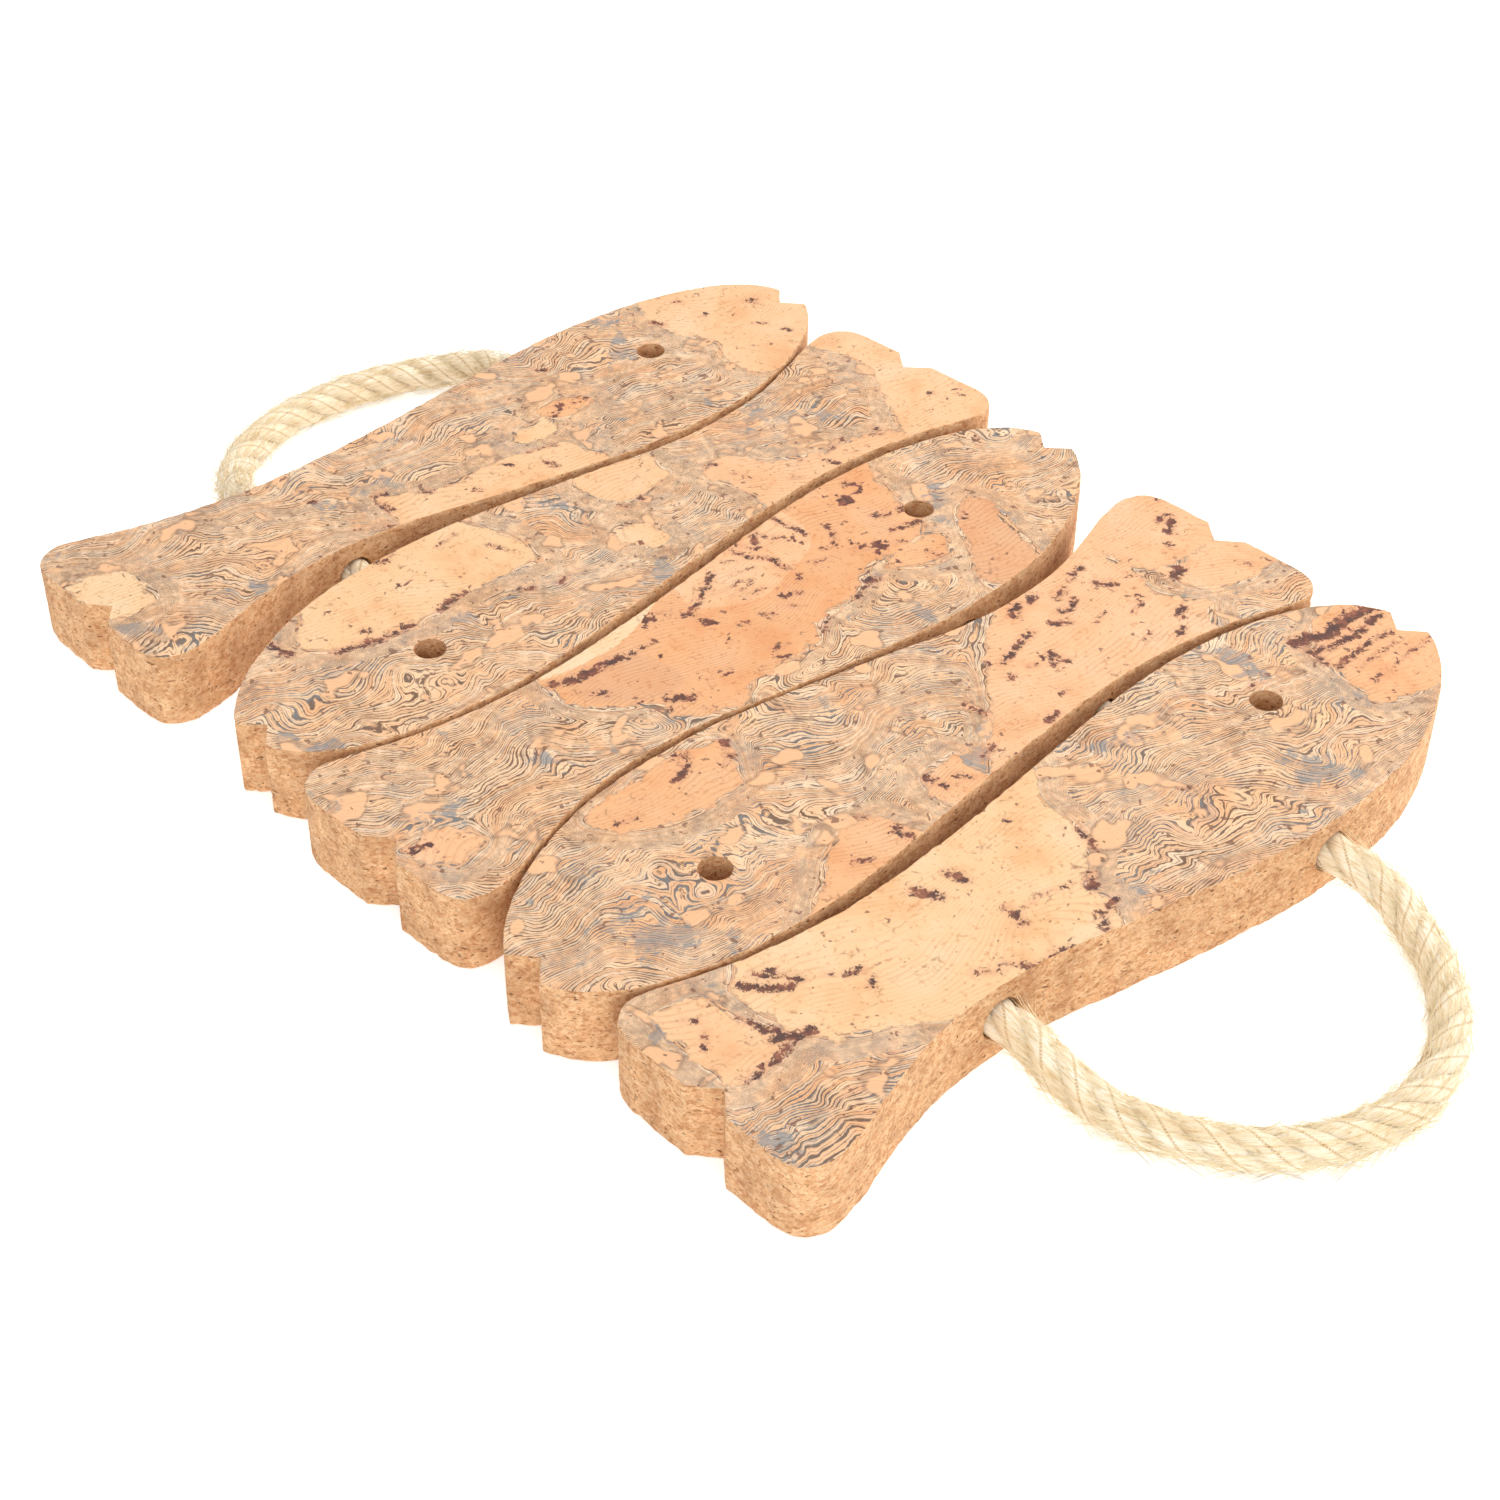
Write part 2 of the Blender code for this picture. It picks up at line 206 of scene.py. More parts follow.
rope_points = np.vstack([front_loop, rear_loop[::-1]])
rope_way = along(np.vstack([rope_points, rope_points[:1]]))
ROPE_LENGTH = rope_way[-1]
FRONT_LENGTH = along(front_loop)[-1]
RIGHT_RUN = FRONT_LENGTH + np.linalg.norm(rear_right - front_right)
REAR_END = RIGHT_RUN + along(rear_loop)[-1]
MIDDLE = REAR_END + rear_left[1]        # inside the middle slab, on the left run


def rope_centre(s):
    """Points on the closed rope's centreline at distances s from the front handle's left end."""
    ring = np.vstack([rope_points, rope_points[:1]])
    s = np.mod(s, ROPE_LENGTH)
    return np.stack([np.interp(s, rope_way, ring[:, k]) for k in range(3)], axis=1)


def rope_axes(s):
    """Centre, sideways axis and upward axis of the rope at distances s: sideways is square to the rope's
    direction and level, and upward is square to both."""
    half = 0.0012
    centre = (rope_centre(s - half) + rope_centre(s + half) + 2 * rope_centre(s)) / 4
    forward = rope_centre(s + half) - rope_centre(s - half)
    forward /= np.linalg.norm(forward, axis=1)[:, None]
    side = np.cross([0.0, 0.0, 1.0], forward)
    side /= np.linalg.norm(side, axis=1)[:, None]
    return centre, side, np.cross(forward, side), forward


def fibre_place(angle, s):
    """Where a point of the rope's surface lies in a space stretched eleven times along the rope, so that
    patterns there run along it as fibres do."""
    way = np.mod(s - MIDDLE, ROPE_LENGTH) * 0.09
    return np.stack([np.cos(angle) * ROPE_RADIUS, np.sin(angle) * ROPE_RADIUS, way], axis=-1).reshape(-1, 3)


def strand_radius(angle, s):
    """Rope radius at an angle round it and a distance along it. Three strands turn once in each lay: the
    radius falls from each strand's crest with the 2.5th power of the angle, drops in a narrow crease
    between two strands, and carries fine ridges of fibre that run along the rope."""
    turned = angle - 2 * math.pi * ROPE_TURNS * s / ROPE_LENGTH
    third = 2 * math.pi / 3
    off = np.abs(np.mod(turned + third / 2, third) - third / 2) / (third / 2)
    lobe = 1.055 - 0.24 * off**2.4 - 0.14 * np.exp(-(((1 - off) / 0.06) ** 2))
    flat = fibre_place(angle, s)
    ridges = 0.024 * grain(flat, 0.0011, 11) + 0.026 * grain(flat, 0.00055, 12)
    swell = 0.018 * grain(flat * [1, 1, 3], 0.003, 13)
    return ROPE_RADIUS * (lobe + (ridges + swell).reshape(lobe.shape) - 0.01)


def quads(rows, cols, closed):
    """Faces of a grid of rows x cols points, numbered row by row. A closed grid joins its last column to
    its first."""
    wide = cols if closed else cols - 1
    r, c = np.meshgrid(np.arange(rows - 1), np.arange(wide), indexing="ij")
    right = (c + 1) % cols
    return np.stack(
        [r * cols + c, r * cols + right, (r + 1) * cols + right, (r + 1) * cols + c], -1
    ).reshape(-1, 4)


def new_piece(name, points, faces):
    """A mesh object from arrays of points and faces, at the origin."""
    mesh = bpy.data.meshes.new(name)
    mesh.from_pydata(points.tolist(), [], [list(map(int, f)) for f in faces])
    mesh.update()
    obj = bpy.data.objects.new(name, mesh)
    bpy.context.scene.collection.objects.link(obj)
    mesh.shade_smooth()
    return obj


AROUND = 60


def laid_rope(name, s):
    """A stretch of the rope with a ring at each of the given distances along it: each ring lies
    strand_radius from the centreline, and a fan of faces closes each end."""
    angle = 2 * math.pi * np.arange(AROUND) / AROUND
    centre, side, up, _ = rope_axes(s)
    s_grid, a_grid = np.meshgrid(s, angle, indexing="ij")
    radius = strand_radius(a_grid, s_grid)[..., None]
    ring = np.cos(a_grid)[..., None] * side[:, None] + np.sin(a_grid)[..., None] * up[:, None]
    points = (centre[:, None] + radius * ring).reshape(-1, 3)
    points[:, 2] = np.maximum(points[:, 2], HANDLE_CLEARANCE)
    count = len(points)
    points = np.vstack([points, centre[0], centre[-1]])
    faces = [list(f[::-1]) for f in quads(len(s), AROUND, True)]
    k = np.arange(AROUND)
    faces += [[count, i, j] for i, j in zip(k, (k + 1) % AROUND)]
    last = (len(s) - 1) * AROUND
    faces += [[count + 1, last + j, last + i] for i, j in zip(k, (k + 1) % AROUND)]
    obj = new_piece(name, points, faces)
    obj.data.set_sharp_from_angle(angle=math.radians(65))
    lay = fibre_place(a_grid, s_grid)
    turned = np.mod(
        a_grid - 2 * math.pi * ROPE_TURNS * s_grid / ROPE_LENGTH, 2 * math.pi / 3
    ) * 1.5 / math.pi
    # Across each strand: 0 in the crease between two strands, 1 on a crest. The sisal material paints shade
    # into the creases from this.
    crease_shade = (1 - 2 * np.abs(turned - 0.5)).ravel()
    for label, kind, values in (
        ("fibre", "FLOAT_VECTOR", np.vstack([lay, lay[:1], lay[-1:]])),
        ("strand", "FLOAT", np.concatenate([crease_shade, [0.5, 0.5]])),
    ):
        layer = obj.data.attributes.new(label, kind, "POINT")
        layer.data.foreach_set(
            "vector" if kind == "FLOAT_VECTOR" else "value", values.astype(np.float32).ravel()
        )
    obj.data.materials.append(sisal)
    return obj


def material(name):
    """An empty material: its tree, its Principled shader and a function that links two sockets."""
    made = bpy.data.materials.new(name)
    made.use_nodes = True
    tree = made.node_tree
    return made, tree, tree.nodes["Principled BSDF"], tree.links.new


def calc(operation, *values, clamp=False):
    """A Math node on sockets and numbers, giving its output socket."""
    tree = next(v.id_data for v in values if isinstance(v, bpy.types.NodeSocket))
    made = tree.nodes.new("ShaderNodeMath")
    made.operation = operation
    made.use_clamp = clamp
    for slot, value in zip(made.inputs, values):
        if isinstance(value, (int, float)):
            slot.default_value = value
        else:
            tree.links.new(value, slot)
    return made.outputs[0]


def times(a, b, clamp=False):
    """a times b."""
    return calc("MULTIPLY", a, b, clamp=clamp)


def linear(a, factor, more, clamp=False):
    """a times a factor, and more."""
    return calc("MULTIPLY_ADD", a, factor, more, clamp=clamp)


def less(a, b, clamp=False):
    """a less b."""
    return calc("SUBTRACT", a, b, clamp=clamp)


def zigzag(a):
    """0 halfway between two whole numbers and 1 on each."""
    return calc("ABSOLUTE", linear(calc("FRACT", a), 2.0, -1.0))


def noise(vector, scale, detail=2.0, roughness=0.5, output="Fac"):
    """A Noise node on a vector socket, giving one of its outputs."""
    made = vector.id_data.nodes.new("ShaderNodeTexNoise")
    for key, value in (("Scale", scale), ("Detail", detail), ("Roughness", roughness)):
        made.inputs[key].default_value = value
    vector.id_data.links.new(vector, made.inputs["Vector"])
    return made.outputs[output]


def coloured(socket, stops):
    """A colour ramp read from a socket: stops of position and colour. Gives its colour socket."""
    made = socket.id_data.nodes.new("ShaderNodeValToRGB")
    elements = made.color_ramp.elements
    while len(elements) < len(stops):
        elements.new(0.5)
    for element, (position, colour) in zip(elements, stops):
        element.position = position
        element.color = (*colour, 1.0)
    socket.id_data.links.new(socket, made.inputs["Fac"])
    return made.outputs["Color"]


def mixed(factor, a, b, blend="MIX"):
    """A colour mix of sockets or fixed colours, giving its colour socket."""
    tree = next(v.id_data for v in (factor, a, b) if isinstance(v, bpy.types.NodeSocket))
    made = tree.nodes.new("ShaderNodeMix")
    made.data_type = "RGBA"
    made.blend_type = blend
    for slot, value in ((0, factor), (6, a), (7, b)):
        if isinstance(value, tuple):
            made.inputs[slot].default_value = (*value, 1.0)
        elif isinstance(value, (int, float)):
            made.inputs[slot].default_value = value
        else:
            tree.links.new(value, made.inputs[slot])
    return made.outputs[2]


def attribute(tree, name, output="Fac"):
    """One of the mesh's own attributes, as a socket."""
    made = tree.nodes.new("ShaderNodeAttribute")
    made.attribute_name = name
    return made.outputs[output]


def bumped(shader, height, strength, distance):
    """Lets a height socket tilt a shader's normals."""
    made = height.id_data.nodes.new("ShaderNodeBump")
    made.inputs["Strength"].default_value = strength
    made.inputs["Distance"].default_value = distance
    height.id_data.links.new(height, made.inputs["Height"])
    height.id_data.links.new(made.outputs["Normal"], shader.inputs["Normal"])


sisal, tree, shader, link = material("sisal_fibre")
fibre = attribute(tree, "fibre", "Vector")
broad = noise(fibre, 420.0, 3.0, 0.6)
fine = noise(fibre, 2600.0, 4.0, 0.7)
straw = coloured(broad, [
    (0.30, (0.90, 0.74, 0.51)), (0.45, (0.94, 0.82, 0.62)),
    (0.60, (0.97, 0.88, 0.71)), (0.75, (0.97, 0.92, 0.80)),
])
lines = coloured(fine, [(0.34, (0.72, 0.55, 0.34)), (0.44, (0.94, 0.88, 0.76)), (0.51, (1.0, 1.0, 1.0))])
# Painted shade: the colour is darkened to brown in the creases between strands, where shade falls.
crease_shade = coloured(attribute(tree, "strand"), [
    (0.0, (0.30, 0.19, 0.08)), (0.05, (0.62, 0.47, 0.27)), (0.12, (1.0, 1.0, 1.0))])
link(mixed(0.8, mixed(0.85, straw, lines, "MULTIPLY"), crease_shade, "MULTIPLY"), shader.inputs["Base Color"])
bumped(shader, fine, 0.9, 0.0004)
shader.inputs["Roughness"].default_value = 0.72
shader.inputs["Sheen Weight"].default_value = 0.25
shader.inputs["Sheen Roughness"].default_value = 0.5

HANDLE_ROOT = 0.005           # of a handle's rope inside the end slab at each end


def loose_hairs(name, start, end, count, seed):
    """Short loose fibres: each leaves the rope at a random place, runs along it and curves away as the
    square of its length, a three-sided thread of six rings."""
    random = np.random.default_rng(seed)
    s = random.uniform(start + 0.007, end - 0.007, count)
    angle = random.uniform(0, 2 * math.pi, count)
    length = random.uniform(0.003, 0.011, count)
    lift = 0.0007 + 0.0036 * random.uniform(0.0, 1.0, count) ** 1.6
    way = random.choice([-1.0, 1.0], count)
    drift = random.uniform(-0.6, 0.6, count)
    thick = random.uniform(0.00006, 0.00011, count)
    centre, side, up, forward = rope_axes(s)
    out = np.cos(angle)[:, None] * side + np.sin(angle)[:, None] * up
    across = np.cross(forward, out)
    t = np.linspace(0, 1, 6)
    root = centre + out * (ROPE_RADIUS * 0.99)
    line = (
        root[:, None]
        + (way * length)[:, None, None] * t[None, :, None] * forward[:, None]
        + lift[:, None, None] * (t**2)[None, :, None] * out[:, None]
        + (drift * length * 0.35)[:, None, None] * (t**2)[None, :, None] * across[:, None]
    )
    corner = 2 * math.pi * np.arange(3) / 3
    taper = (thick[:, None] * (1.0 - 0.7 * t)[None, :])[..., None, None]
    ring = np.cos(corner)[
        None, None, :, None
    ] * out[:, None, None] + np.sin(corner)[None, None, :, None] * across[:, None, None]
    points = line[:, :, None] + taper * ring
    points[..., 2] = np.maximum(points[..., 2], HANDLE_CLEARANCE)
    one = quads(6, 3, True)
    faces = [list(f) for k in range(count) for f in one + 18 * k]
    faces += [[18 * k + 2, 18 * k + 1, 18 * k] for k in range(count)]
    faces += [[18 * k + 15, 18 * k + 16, 18 * k + 17] for k in range(count)]
    obj = new_piece(name, points.reshape(-1, 3), faces)
    close = bmesh.new()
    close.from_mesh(obj.data)
    bmesh.ops.recalc_face_normals(close, faces=close.faces)
    close.to_mesh(obj.data)
    close.free()
    obj.data.materials.append(hair)
    return obj


hair, tree, shader, link = material("sisal_hair")
place = tree.nodes.new("ShaderNodeTexCoord").outputs["Object"]
pale = coloured(noise(place, 300.0), [(0.35, (0.86, 0.68, 0.40)), (0.65, (0.95, 0.83, 0.58))])
link(pale, shader.inputs["Base Color"])
shader.inputs["Roughness"].default_value = 0.6


def handle(name, start, end, hairs, seed):
    """A handle of free rope with its loose hairs, from one hole mouth to the other."""
    start, end = start - HANDLE_ROOT, end + HANDLE_ROOT
    rope = laid_rope(name + "_rope", np.linspace(start, end, int((end - start) / 0.0005)))
    fuzz = loose_hairs(name + "_hairs", start, end, hairs, seed)
    for piece in (rope, fuzz):
        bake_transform(piece)
    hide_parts(name)


handle("front_handle", 0.0, FRONT_LENGTH, 2200, 5)
handle("rear_handle", RIGHT_RUN, REAR_END, 1600, 6)


# ---- Rope in the slabs and gaps ------------------------------------------------
# The same rope where the slabs hold it and where it shows between them. In each
# gap it is one stretch that reaches from inside the inner slab into the outer one.

LINK_DEPTH = 0.0130           # of a gap's stretch inside the inner slab
IN_HOLE = 0.0030              # and inside the outer one


def rope_at(side, y):
    """Distance along the rope of the point at y, on its left or right run."""
    return REAR_END + rear_left[1] - y if side == "left" else FRONT_LENGTH + y - front_right[1]


def rope_rings(side, *stops):
    """Distances along the rope for rings from stop to stop, each stop a y followed by the rings' step."""
    ys = [stops[0]]
    for step, y in zip(stops[1::2], stops[2::2]):
        count = max(1, int(round(abs(y - ys[-1]) / step)))
        ys += list(np.linspace(ys[-1], y, count + 1)[1:])
    return np.sort(rope_at(side, np.array(ys)))


inner_end = {}
for inner, outer in ((3, 4), (4, 5), (3, 2), (2, 1)):
    pair = f"{min(inner, outer)}{max(inner, outer)}"
    way = -1 if outer > inner else 1
    for side, x in (("left", LEFT_PASS), ("right", RIGHT_PASS)):
        low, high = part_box(f"rope_gap_{pair}_{side}")
        deep, mouth = (high.y, low.y) if way < 0 else (low.y, high.y)
        wall = deep + way * LINK_DEPTH
        inner_end[outer, side] = mouth + way * IN_HOLE
        rings = rope_rings(side, deep, 0.0010, wall, 0.0002, mouth, 0.0005, inner_end[outer, side])
        stretch = laid_rope(f"gap_rope_{pair}_{side}", rings)
        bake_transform(stretch)
        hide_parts(f"rope_gap_{pair}_{side}")

for number in (1, 2, 3, 4, 5):
    for side, front, rear in (("left", front_left, rear_left), ("right", front_right, rear_right)):
        low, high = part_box(f"rope_in_fish_{number}_{side}")
        first = front[1] + HANDLE_ROOT if number == 5 else inner_end[number, side] if number < 3 else low.y
        last = rear[1] - HANDLE_ROOT if number == 1 else inner_end[number, side] if number > 3 else high.y
        stretch = laid_rope(f"held_rope_{number}_{side}", rope_rings(side, first, 0.0010, last))
        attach(stretch, f"fish_{number}")
        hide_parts(f"rope_in_fish_{number}_{side}")


# ---- Fish slabs: granulated cork cores ----------------------------------------
# Each fish is sawn from a board of pressed cork granules, with two rope holes bored
# across it and an eye through it. The sawn wall is rough, with crumbled edges.

FISH_LENGTH = 0.2140
FISH_WIDTH = 0.0573
SLAB_THICKNESS = 0.0185
VENEER = 0.0009
TAIL_NOTCH = 0.0055
TAIL_NOTCH_DEPTH = 0.0047
MOUTH = 0.0048
MOUTH_DEPTH = 0.0044
EYE_RADIUS = 0.00365
EYE_FROM_NOSE = 0.0462
EYE_ABOVE_AXIS = 0.0045
HOLE_RADIUS = 0.00475
BACK = (
    (-1.000, 0.350), (-0.988, 0.437), (-0.958, 0.489), (-0.916, 0.502), (-0.840, 0.463),
    (-0.750, 0.410), (-0.610, 0.358), (-0.445, 0.334), (-0.235, 0.349), (0.000, 0.395),
    (0.210, 0.444), (0.400, 0.478), (0.540, 0.479), (0.680, 0.454), (0.795, 0.404),
    (0.888, 0.336), (0.958, 0.240), (0.990, 0.153), (1.000, 0.100),
)
BELLY = (
    (-1.000, 0.314), (-0.988, 0.393), (-0.958, 0.437), (-0.916, 0.450), (-0.840, 0.422),
    (-0.750, 0.367), (-0.610, 0.301), (-0.458, 0.282), (-0.304, 0.307), (-0.140, 0.371),
    (0.000, 0.425), (0.164, 0.480), (0.304, 0.513), (0.444, 0.521), (0.584, 0.502),
    (0.700, 0.454), (0.818, 0.367), (0.911, 0.262), (0.972, 0.157), (1.000, 0.084),
)
GAP_12, GAP_23, GAP_34, GAP_45 = 0.0029, 0.0039, 0.0008, 0.0047
SHIFT = {1: 0.0029, 2: 0.0031, 3: 0.0, 4: -0.0011, 5: 0.0002}
SKEW = {1: -0.0026, 2: 0.0044, 3: 0.0031, 4: -0.0006, 5: -0.0011}

HALF_LENGTH = FISH_LENGTH / 2
CORE_TOP = SLAB_THICKNESS - VENEER
EYE = np.array([HALF_LENGTH - EYE_FROM_NOSE, EYE_ABOVE_AXIS])
BACK_PITCH = 2 * dict(BACK)[0.000] * FISH_WIDTH
BELLY_PITCH = 2 * dict(BELLY)[0.000] * FISH_WIDTH
SLAB_Y = {
    1: BELLY_PITCH + GAP_12 + BACK_PITCH + GAP_23,
    2: BACK_PITCH + GAP_23,
    3: 0.0,
    4: -(BELLY_PITCH + GAP_34),
    5: -(BELLY_PITCH + GAP_34 + BACK_PITCH + GAP_45),
}
COLUMNS, ROWS, LAYERS = 340, 84, 23
HOLE_CELLS = 8                # half the side of the square of wall cells that a rope hole replaces
EYE_CELLS = 8                 # and of the square of top cells that the eye replaces
PATCH_RINGS = 5               # rings of cells between such a square and its circle
MOUTH_WEAR = 0.00018          # by which a rope hole's edge is worn back
NOTCH_REACH = 0.016           # along the fish, over which a notch bends the columns


def slab_turn(number):
    """Rotation matrix of a slab: its skew, and half a turn for slabs 2 and 4."""
    angle = math.atan2(SKEW[number], HALF_LENGTH) + (math.pi if number % 2 == 0 else 0.0)
    return np.array([[math.cos(angle), -math.sin(angle)], [math.sin(angle), math.cos(angle)]])


def on_mat(number, points):
    """Points of a slab's own plan, head towards +X and back towards +Y, where the slab lies on the mat."""
    return points @ slab_turn(number).T + [SHIFT[number], SLAB_Y[number]]


def in_slab(number, points):
    """The opposite: points of the mat in a slab's own plan."""
    return (points - [SHIFT[number], SLAB_Y[number]]) @ slab_turn(number)


def fish_plan():
    """A slab's plan as a grid: columns go from tail to nose, set closer towards both ends, and rows from
    belly to back, sharing out the width there. Near the tail and the nose the columns bend into the two V
    notches, whose depth falls off with the distance along the fish."""
    t = np.linspace(0, 1, COLUMNS + 1)
    share = 0.5 * (2 * t - 1) - 0.5 * np.cos(np.pi * t)
    back_line, belly_line = smooth_through(BACK, 40), smooth_through(BELLY, 40)
    back = np.interp(share, back_line[:, 0], back_line[:, 1]) * FISH_WIDTH
    belly = np.interp(share, belly_line[:, 0], belly_line[:, 1]) * FISH_WIDTH
    q = np.linspace(0, 1, ROWS + 1)
    tail = np.interp(q, [0, 28 / 84, 40 / 84, 52 / 84, 1], [0, 0.3283, 0.4728, 0.6173, 1])
    nose = np.interp(q, [0, 4 / 84, 42 / 84, 80 / 84, 1], [0, 0.0449, 0.5, 0.9551, 1])
    towards_nose = ((share + 1) / 2)[:, None]
    v = (1 - towards_nose) * tail[None] + towards_nose * nose[None]
    y = -belly[:, None] + v * (back + belly)[:, None]
    lip = (BACK[-1][1] - BELLY[-1][1]) / 2 * FISH_WIDTH
    near_tail = np.maximum(0, 1 - (share + 1) * HALF_LENGTH / NOTCH_REACH)[:, None] ** 2
    near_nose = np.maximum(0, 1 - (1 - share) * HALF_LENGTH / NOTCH_REACH)[:, None] ** 2
    x = share[:, None] * HALF_LENGTH
    x = x + TAIL_NOTCH_DEPTH * np.maximum(0, 1 - np.abs(y) / TAIL_NOTCH) * near_tail
    x = x - MOUTH_DEPTH * np.maximum(0, 1 - np.abs(y - lip) / MOUTH) * near_nose
    return np.stack([x, y], axis=-1)


PLAN = fish_plan()
i, j = np.arange(COLUMNS + 1), np.arange(ROWS + 1)
RIM = np.concatenate([
    np.stack([i, 0 * i], 1), np.stack([0 * j[1:] + COLUMNS, j[1:]], 1),
    np.stack([i[-2::-1], 0 * i[1:] + ROWS], 1), np.stack([0 * j[-2:0:-1], j[-2:0:-1]], 1),
])


def sawn_relief(points):
    """How far the sawn wall stands proud: granules about 1 mm across, torn pits where they came out, and
    both edges crumbled back over about 0.4 mm."""
    z = points[:, 2]
    granules = 0.00007 * grain(points, 0.0013, 21) + 0.00006 * grain(points, 0.0007, 22)
    torn = -0.00030 * np.clip(grain(points * [1, 1, 1.7], 0.0019, 23) - 0.45, 0, 0.4) / 0.4
    crumbled = 1.0 + 0.9 * grain(points, 0.0022, 24)
    edge = np.exp(-z / 0.00035) + np.exp(-(SLAB_THICKNESS - z) / 0.00030)
    return granules + torn - 0.00022 * edge * crumbled


def rim_of(number):
    """A slab's rim on the mat and its outward normals, going round anticlockwise."""
    rim = on_mat(number, PLAN[RIM[:, 0], RIM[:, 1]])
    forward = np.roll(rim, -1, axis=0) - np.roll(rim, 1, axis=0)
    forward /= np.linalg.norm(forward, axis=1)[:, None]
    forward = sum(np.roll(forward, k, axis=0) for k in range(-5, 6))
    forward /= np.linalg.norm(forward, axis=1)[:, None]
    return rim, np.stack([forward[:, 1], -forward[:, 0]], axis=1)


def sawn_wall(rim, normal, z):
    """The wall over a rim: each rim point at each height, moved out by the relief there."""
    flat = np.concatenate([np.tile(rim, (len(z), 1)), np.repeat(z, len(rim))[:, None]], axis=1)
    flat[:, :2] += np.tile(normal, (len(z), 1)) * sawn_relief(flat)[:, None]
    return flat


def inside_outline(points, outline):
    """Whether each point is inside a closed outline: its sideways ray crosses the outline an odd number
    of times."""
    odd = np.zeros(len(points), bool)
    for (ax, ay), (bx, by) in zip(outline, np.roll(outline, -1, axis=0)):
        crosses = (ay > points[:, 1]) != (by > points[:, 1])
        odd ^= crosses & (points[:, 0] < (bx - ax) * (points[:, 1] - ay) / (by - ay + 1e-12) + ax)
    return odd


def flat_cap(outer, inner, z):
    """A flat face between an outer loop and an inner one, as constrained Delaunay triangles."""
    loops = np.vstack([outer, inner])
    n, m = len(outer), len(inner)
    edges = [(k, (k + 1) % n) for k in range(n)] + [(n + k, n + (k + 1) % m) for k in range(m)]
    scaled = [Vector(p * 1000) for p in loops]
    found = delaunay_2d_cdt(scaled, edges, [], 1, 1e-7)
    points = np.array([list(p) for p in found[0]]) / 1000
    triangles = np.array(found[2])
    outside = ~inside_outline(points[triangles].mean(axis=1), inner)
    return np.hstack([points, np.full((len(points), 1), z)]), triangles[outside], 0


def weld(name, sheets):
    """One closed mesh from several sheets of (points, faces, material slot) whose edges meet point for
    point."""
    mesh = bpy.data.meshes.new(name)
    points, faces, slots, start = [], [], [], 0
    for sheet_points, sheet_faces, slot in sheets:
        points.append(np.asarray(sheet_points))
        faces += (np.asarray(sheet_faces) + start).tolist()
        slots += [slot] * len(sheet_faces)
        start += len(sheet_points)
    mesh.from_pydata(np.vstack(points).tolist(), [], faces)
    mesh.polygons.foreach_set("material_index", slots)
    work = bmesh.new()
    work.from_mesh(mesh)
    bmesh.ops.remove_doubles(work, verts=work.verts, dist=1.5e-6)
    bmesh.ops.recalc_face_normals(work, faces=work.faces)
    work.to_mesh(mesh)
    work.free()
    obj = bpy.data.objects.new(name, mesh)
    bpy.context.scene.collection.objects.link(obj)
    mesh.shade_smooth()
    mesh.set_sharp_from_angle(angle=math.radians(48))
    return obj


def ring_patch(square, circle, rings):
    """Rings between a square loop of points and a circle with as many, each point on a straight line."""
    t = np.linspace(0, 1, rings + 1)[:, None, None]
    return (1 - t) * square[None] + t * circle[None]


def square_loop(columns, rows):
    """Row and column numbers round a block of cells."""
    c0, c1, r0, r1 = columns[0], columns[-1], rows[0], rows[-1]
    return np.array(
        [(r0, c) for c in range(c0, c1)] + [(r, c1) for r in range(r0, r1)]
        + [(r1, c) for c in range(c1, c0, -1)] + [(r, c0) for r in range(r1, r0, -1)]
    )


def circle_like(loop, centre, radius):
    """The points of a circle in the same directions from its centre as the loop's."""
    off = loop - centre
    return centre + radius * off / np.linalg.norm(off, axis=1)[:, None]


def eye_ring(number, z):
    """The eye's rim at a height, slightly ragged, with a point for each of the square of cells it
    replaces."""
    ring = on_mat(number, circle_like(EYE_LOOP, EYE, EYE_RADIUS))
    flat = np.hstack([ring, np.full((len(ring), 1), z)])
    out = ring - on_mat(number, EYE[None])
    flat[:, :2] += out / EYE_RADIUS * (0.00012 * grain(flat, 0.0012, 25))[:, None]
    return flat


EYE_COLUMN, EYE_ROW = np.unravel_index(np.argmin(np.linalg.norm(PLAN - EYE, axis=2)), PLAN.shape[:2])
EYE_COLUMNS = np.arange(EYE_COLUMN - EYE_CELLS, EYE_COLUMN + EYE_CELLS + 1)
EYE_ROWS = np.arange(EYE_ROW - EYE_CELLS, EYE_ROW + EYE_CELLS + 1)
EYE_SQUARE = square_loop(EYE_COLUMNS, EYE_ROWS)
EYE_LOOP = PLAN[EYE_SQUARE[:, 1], EYE_SQUARE[:, 0]]


def tube(rings):
    """The faces between rings of equal length, as a closed grid."""
    return np.vstack(rings), quads(len(rings), len(rings[0]), True), 0


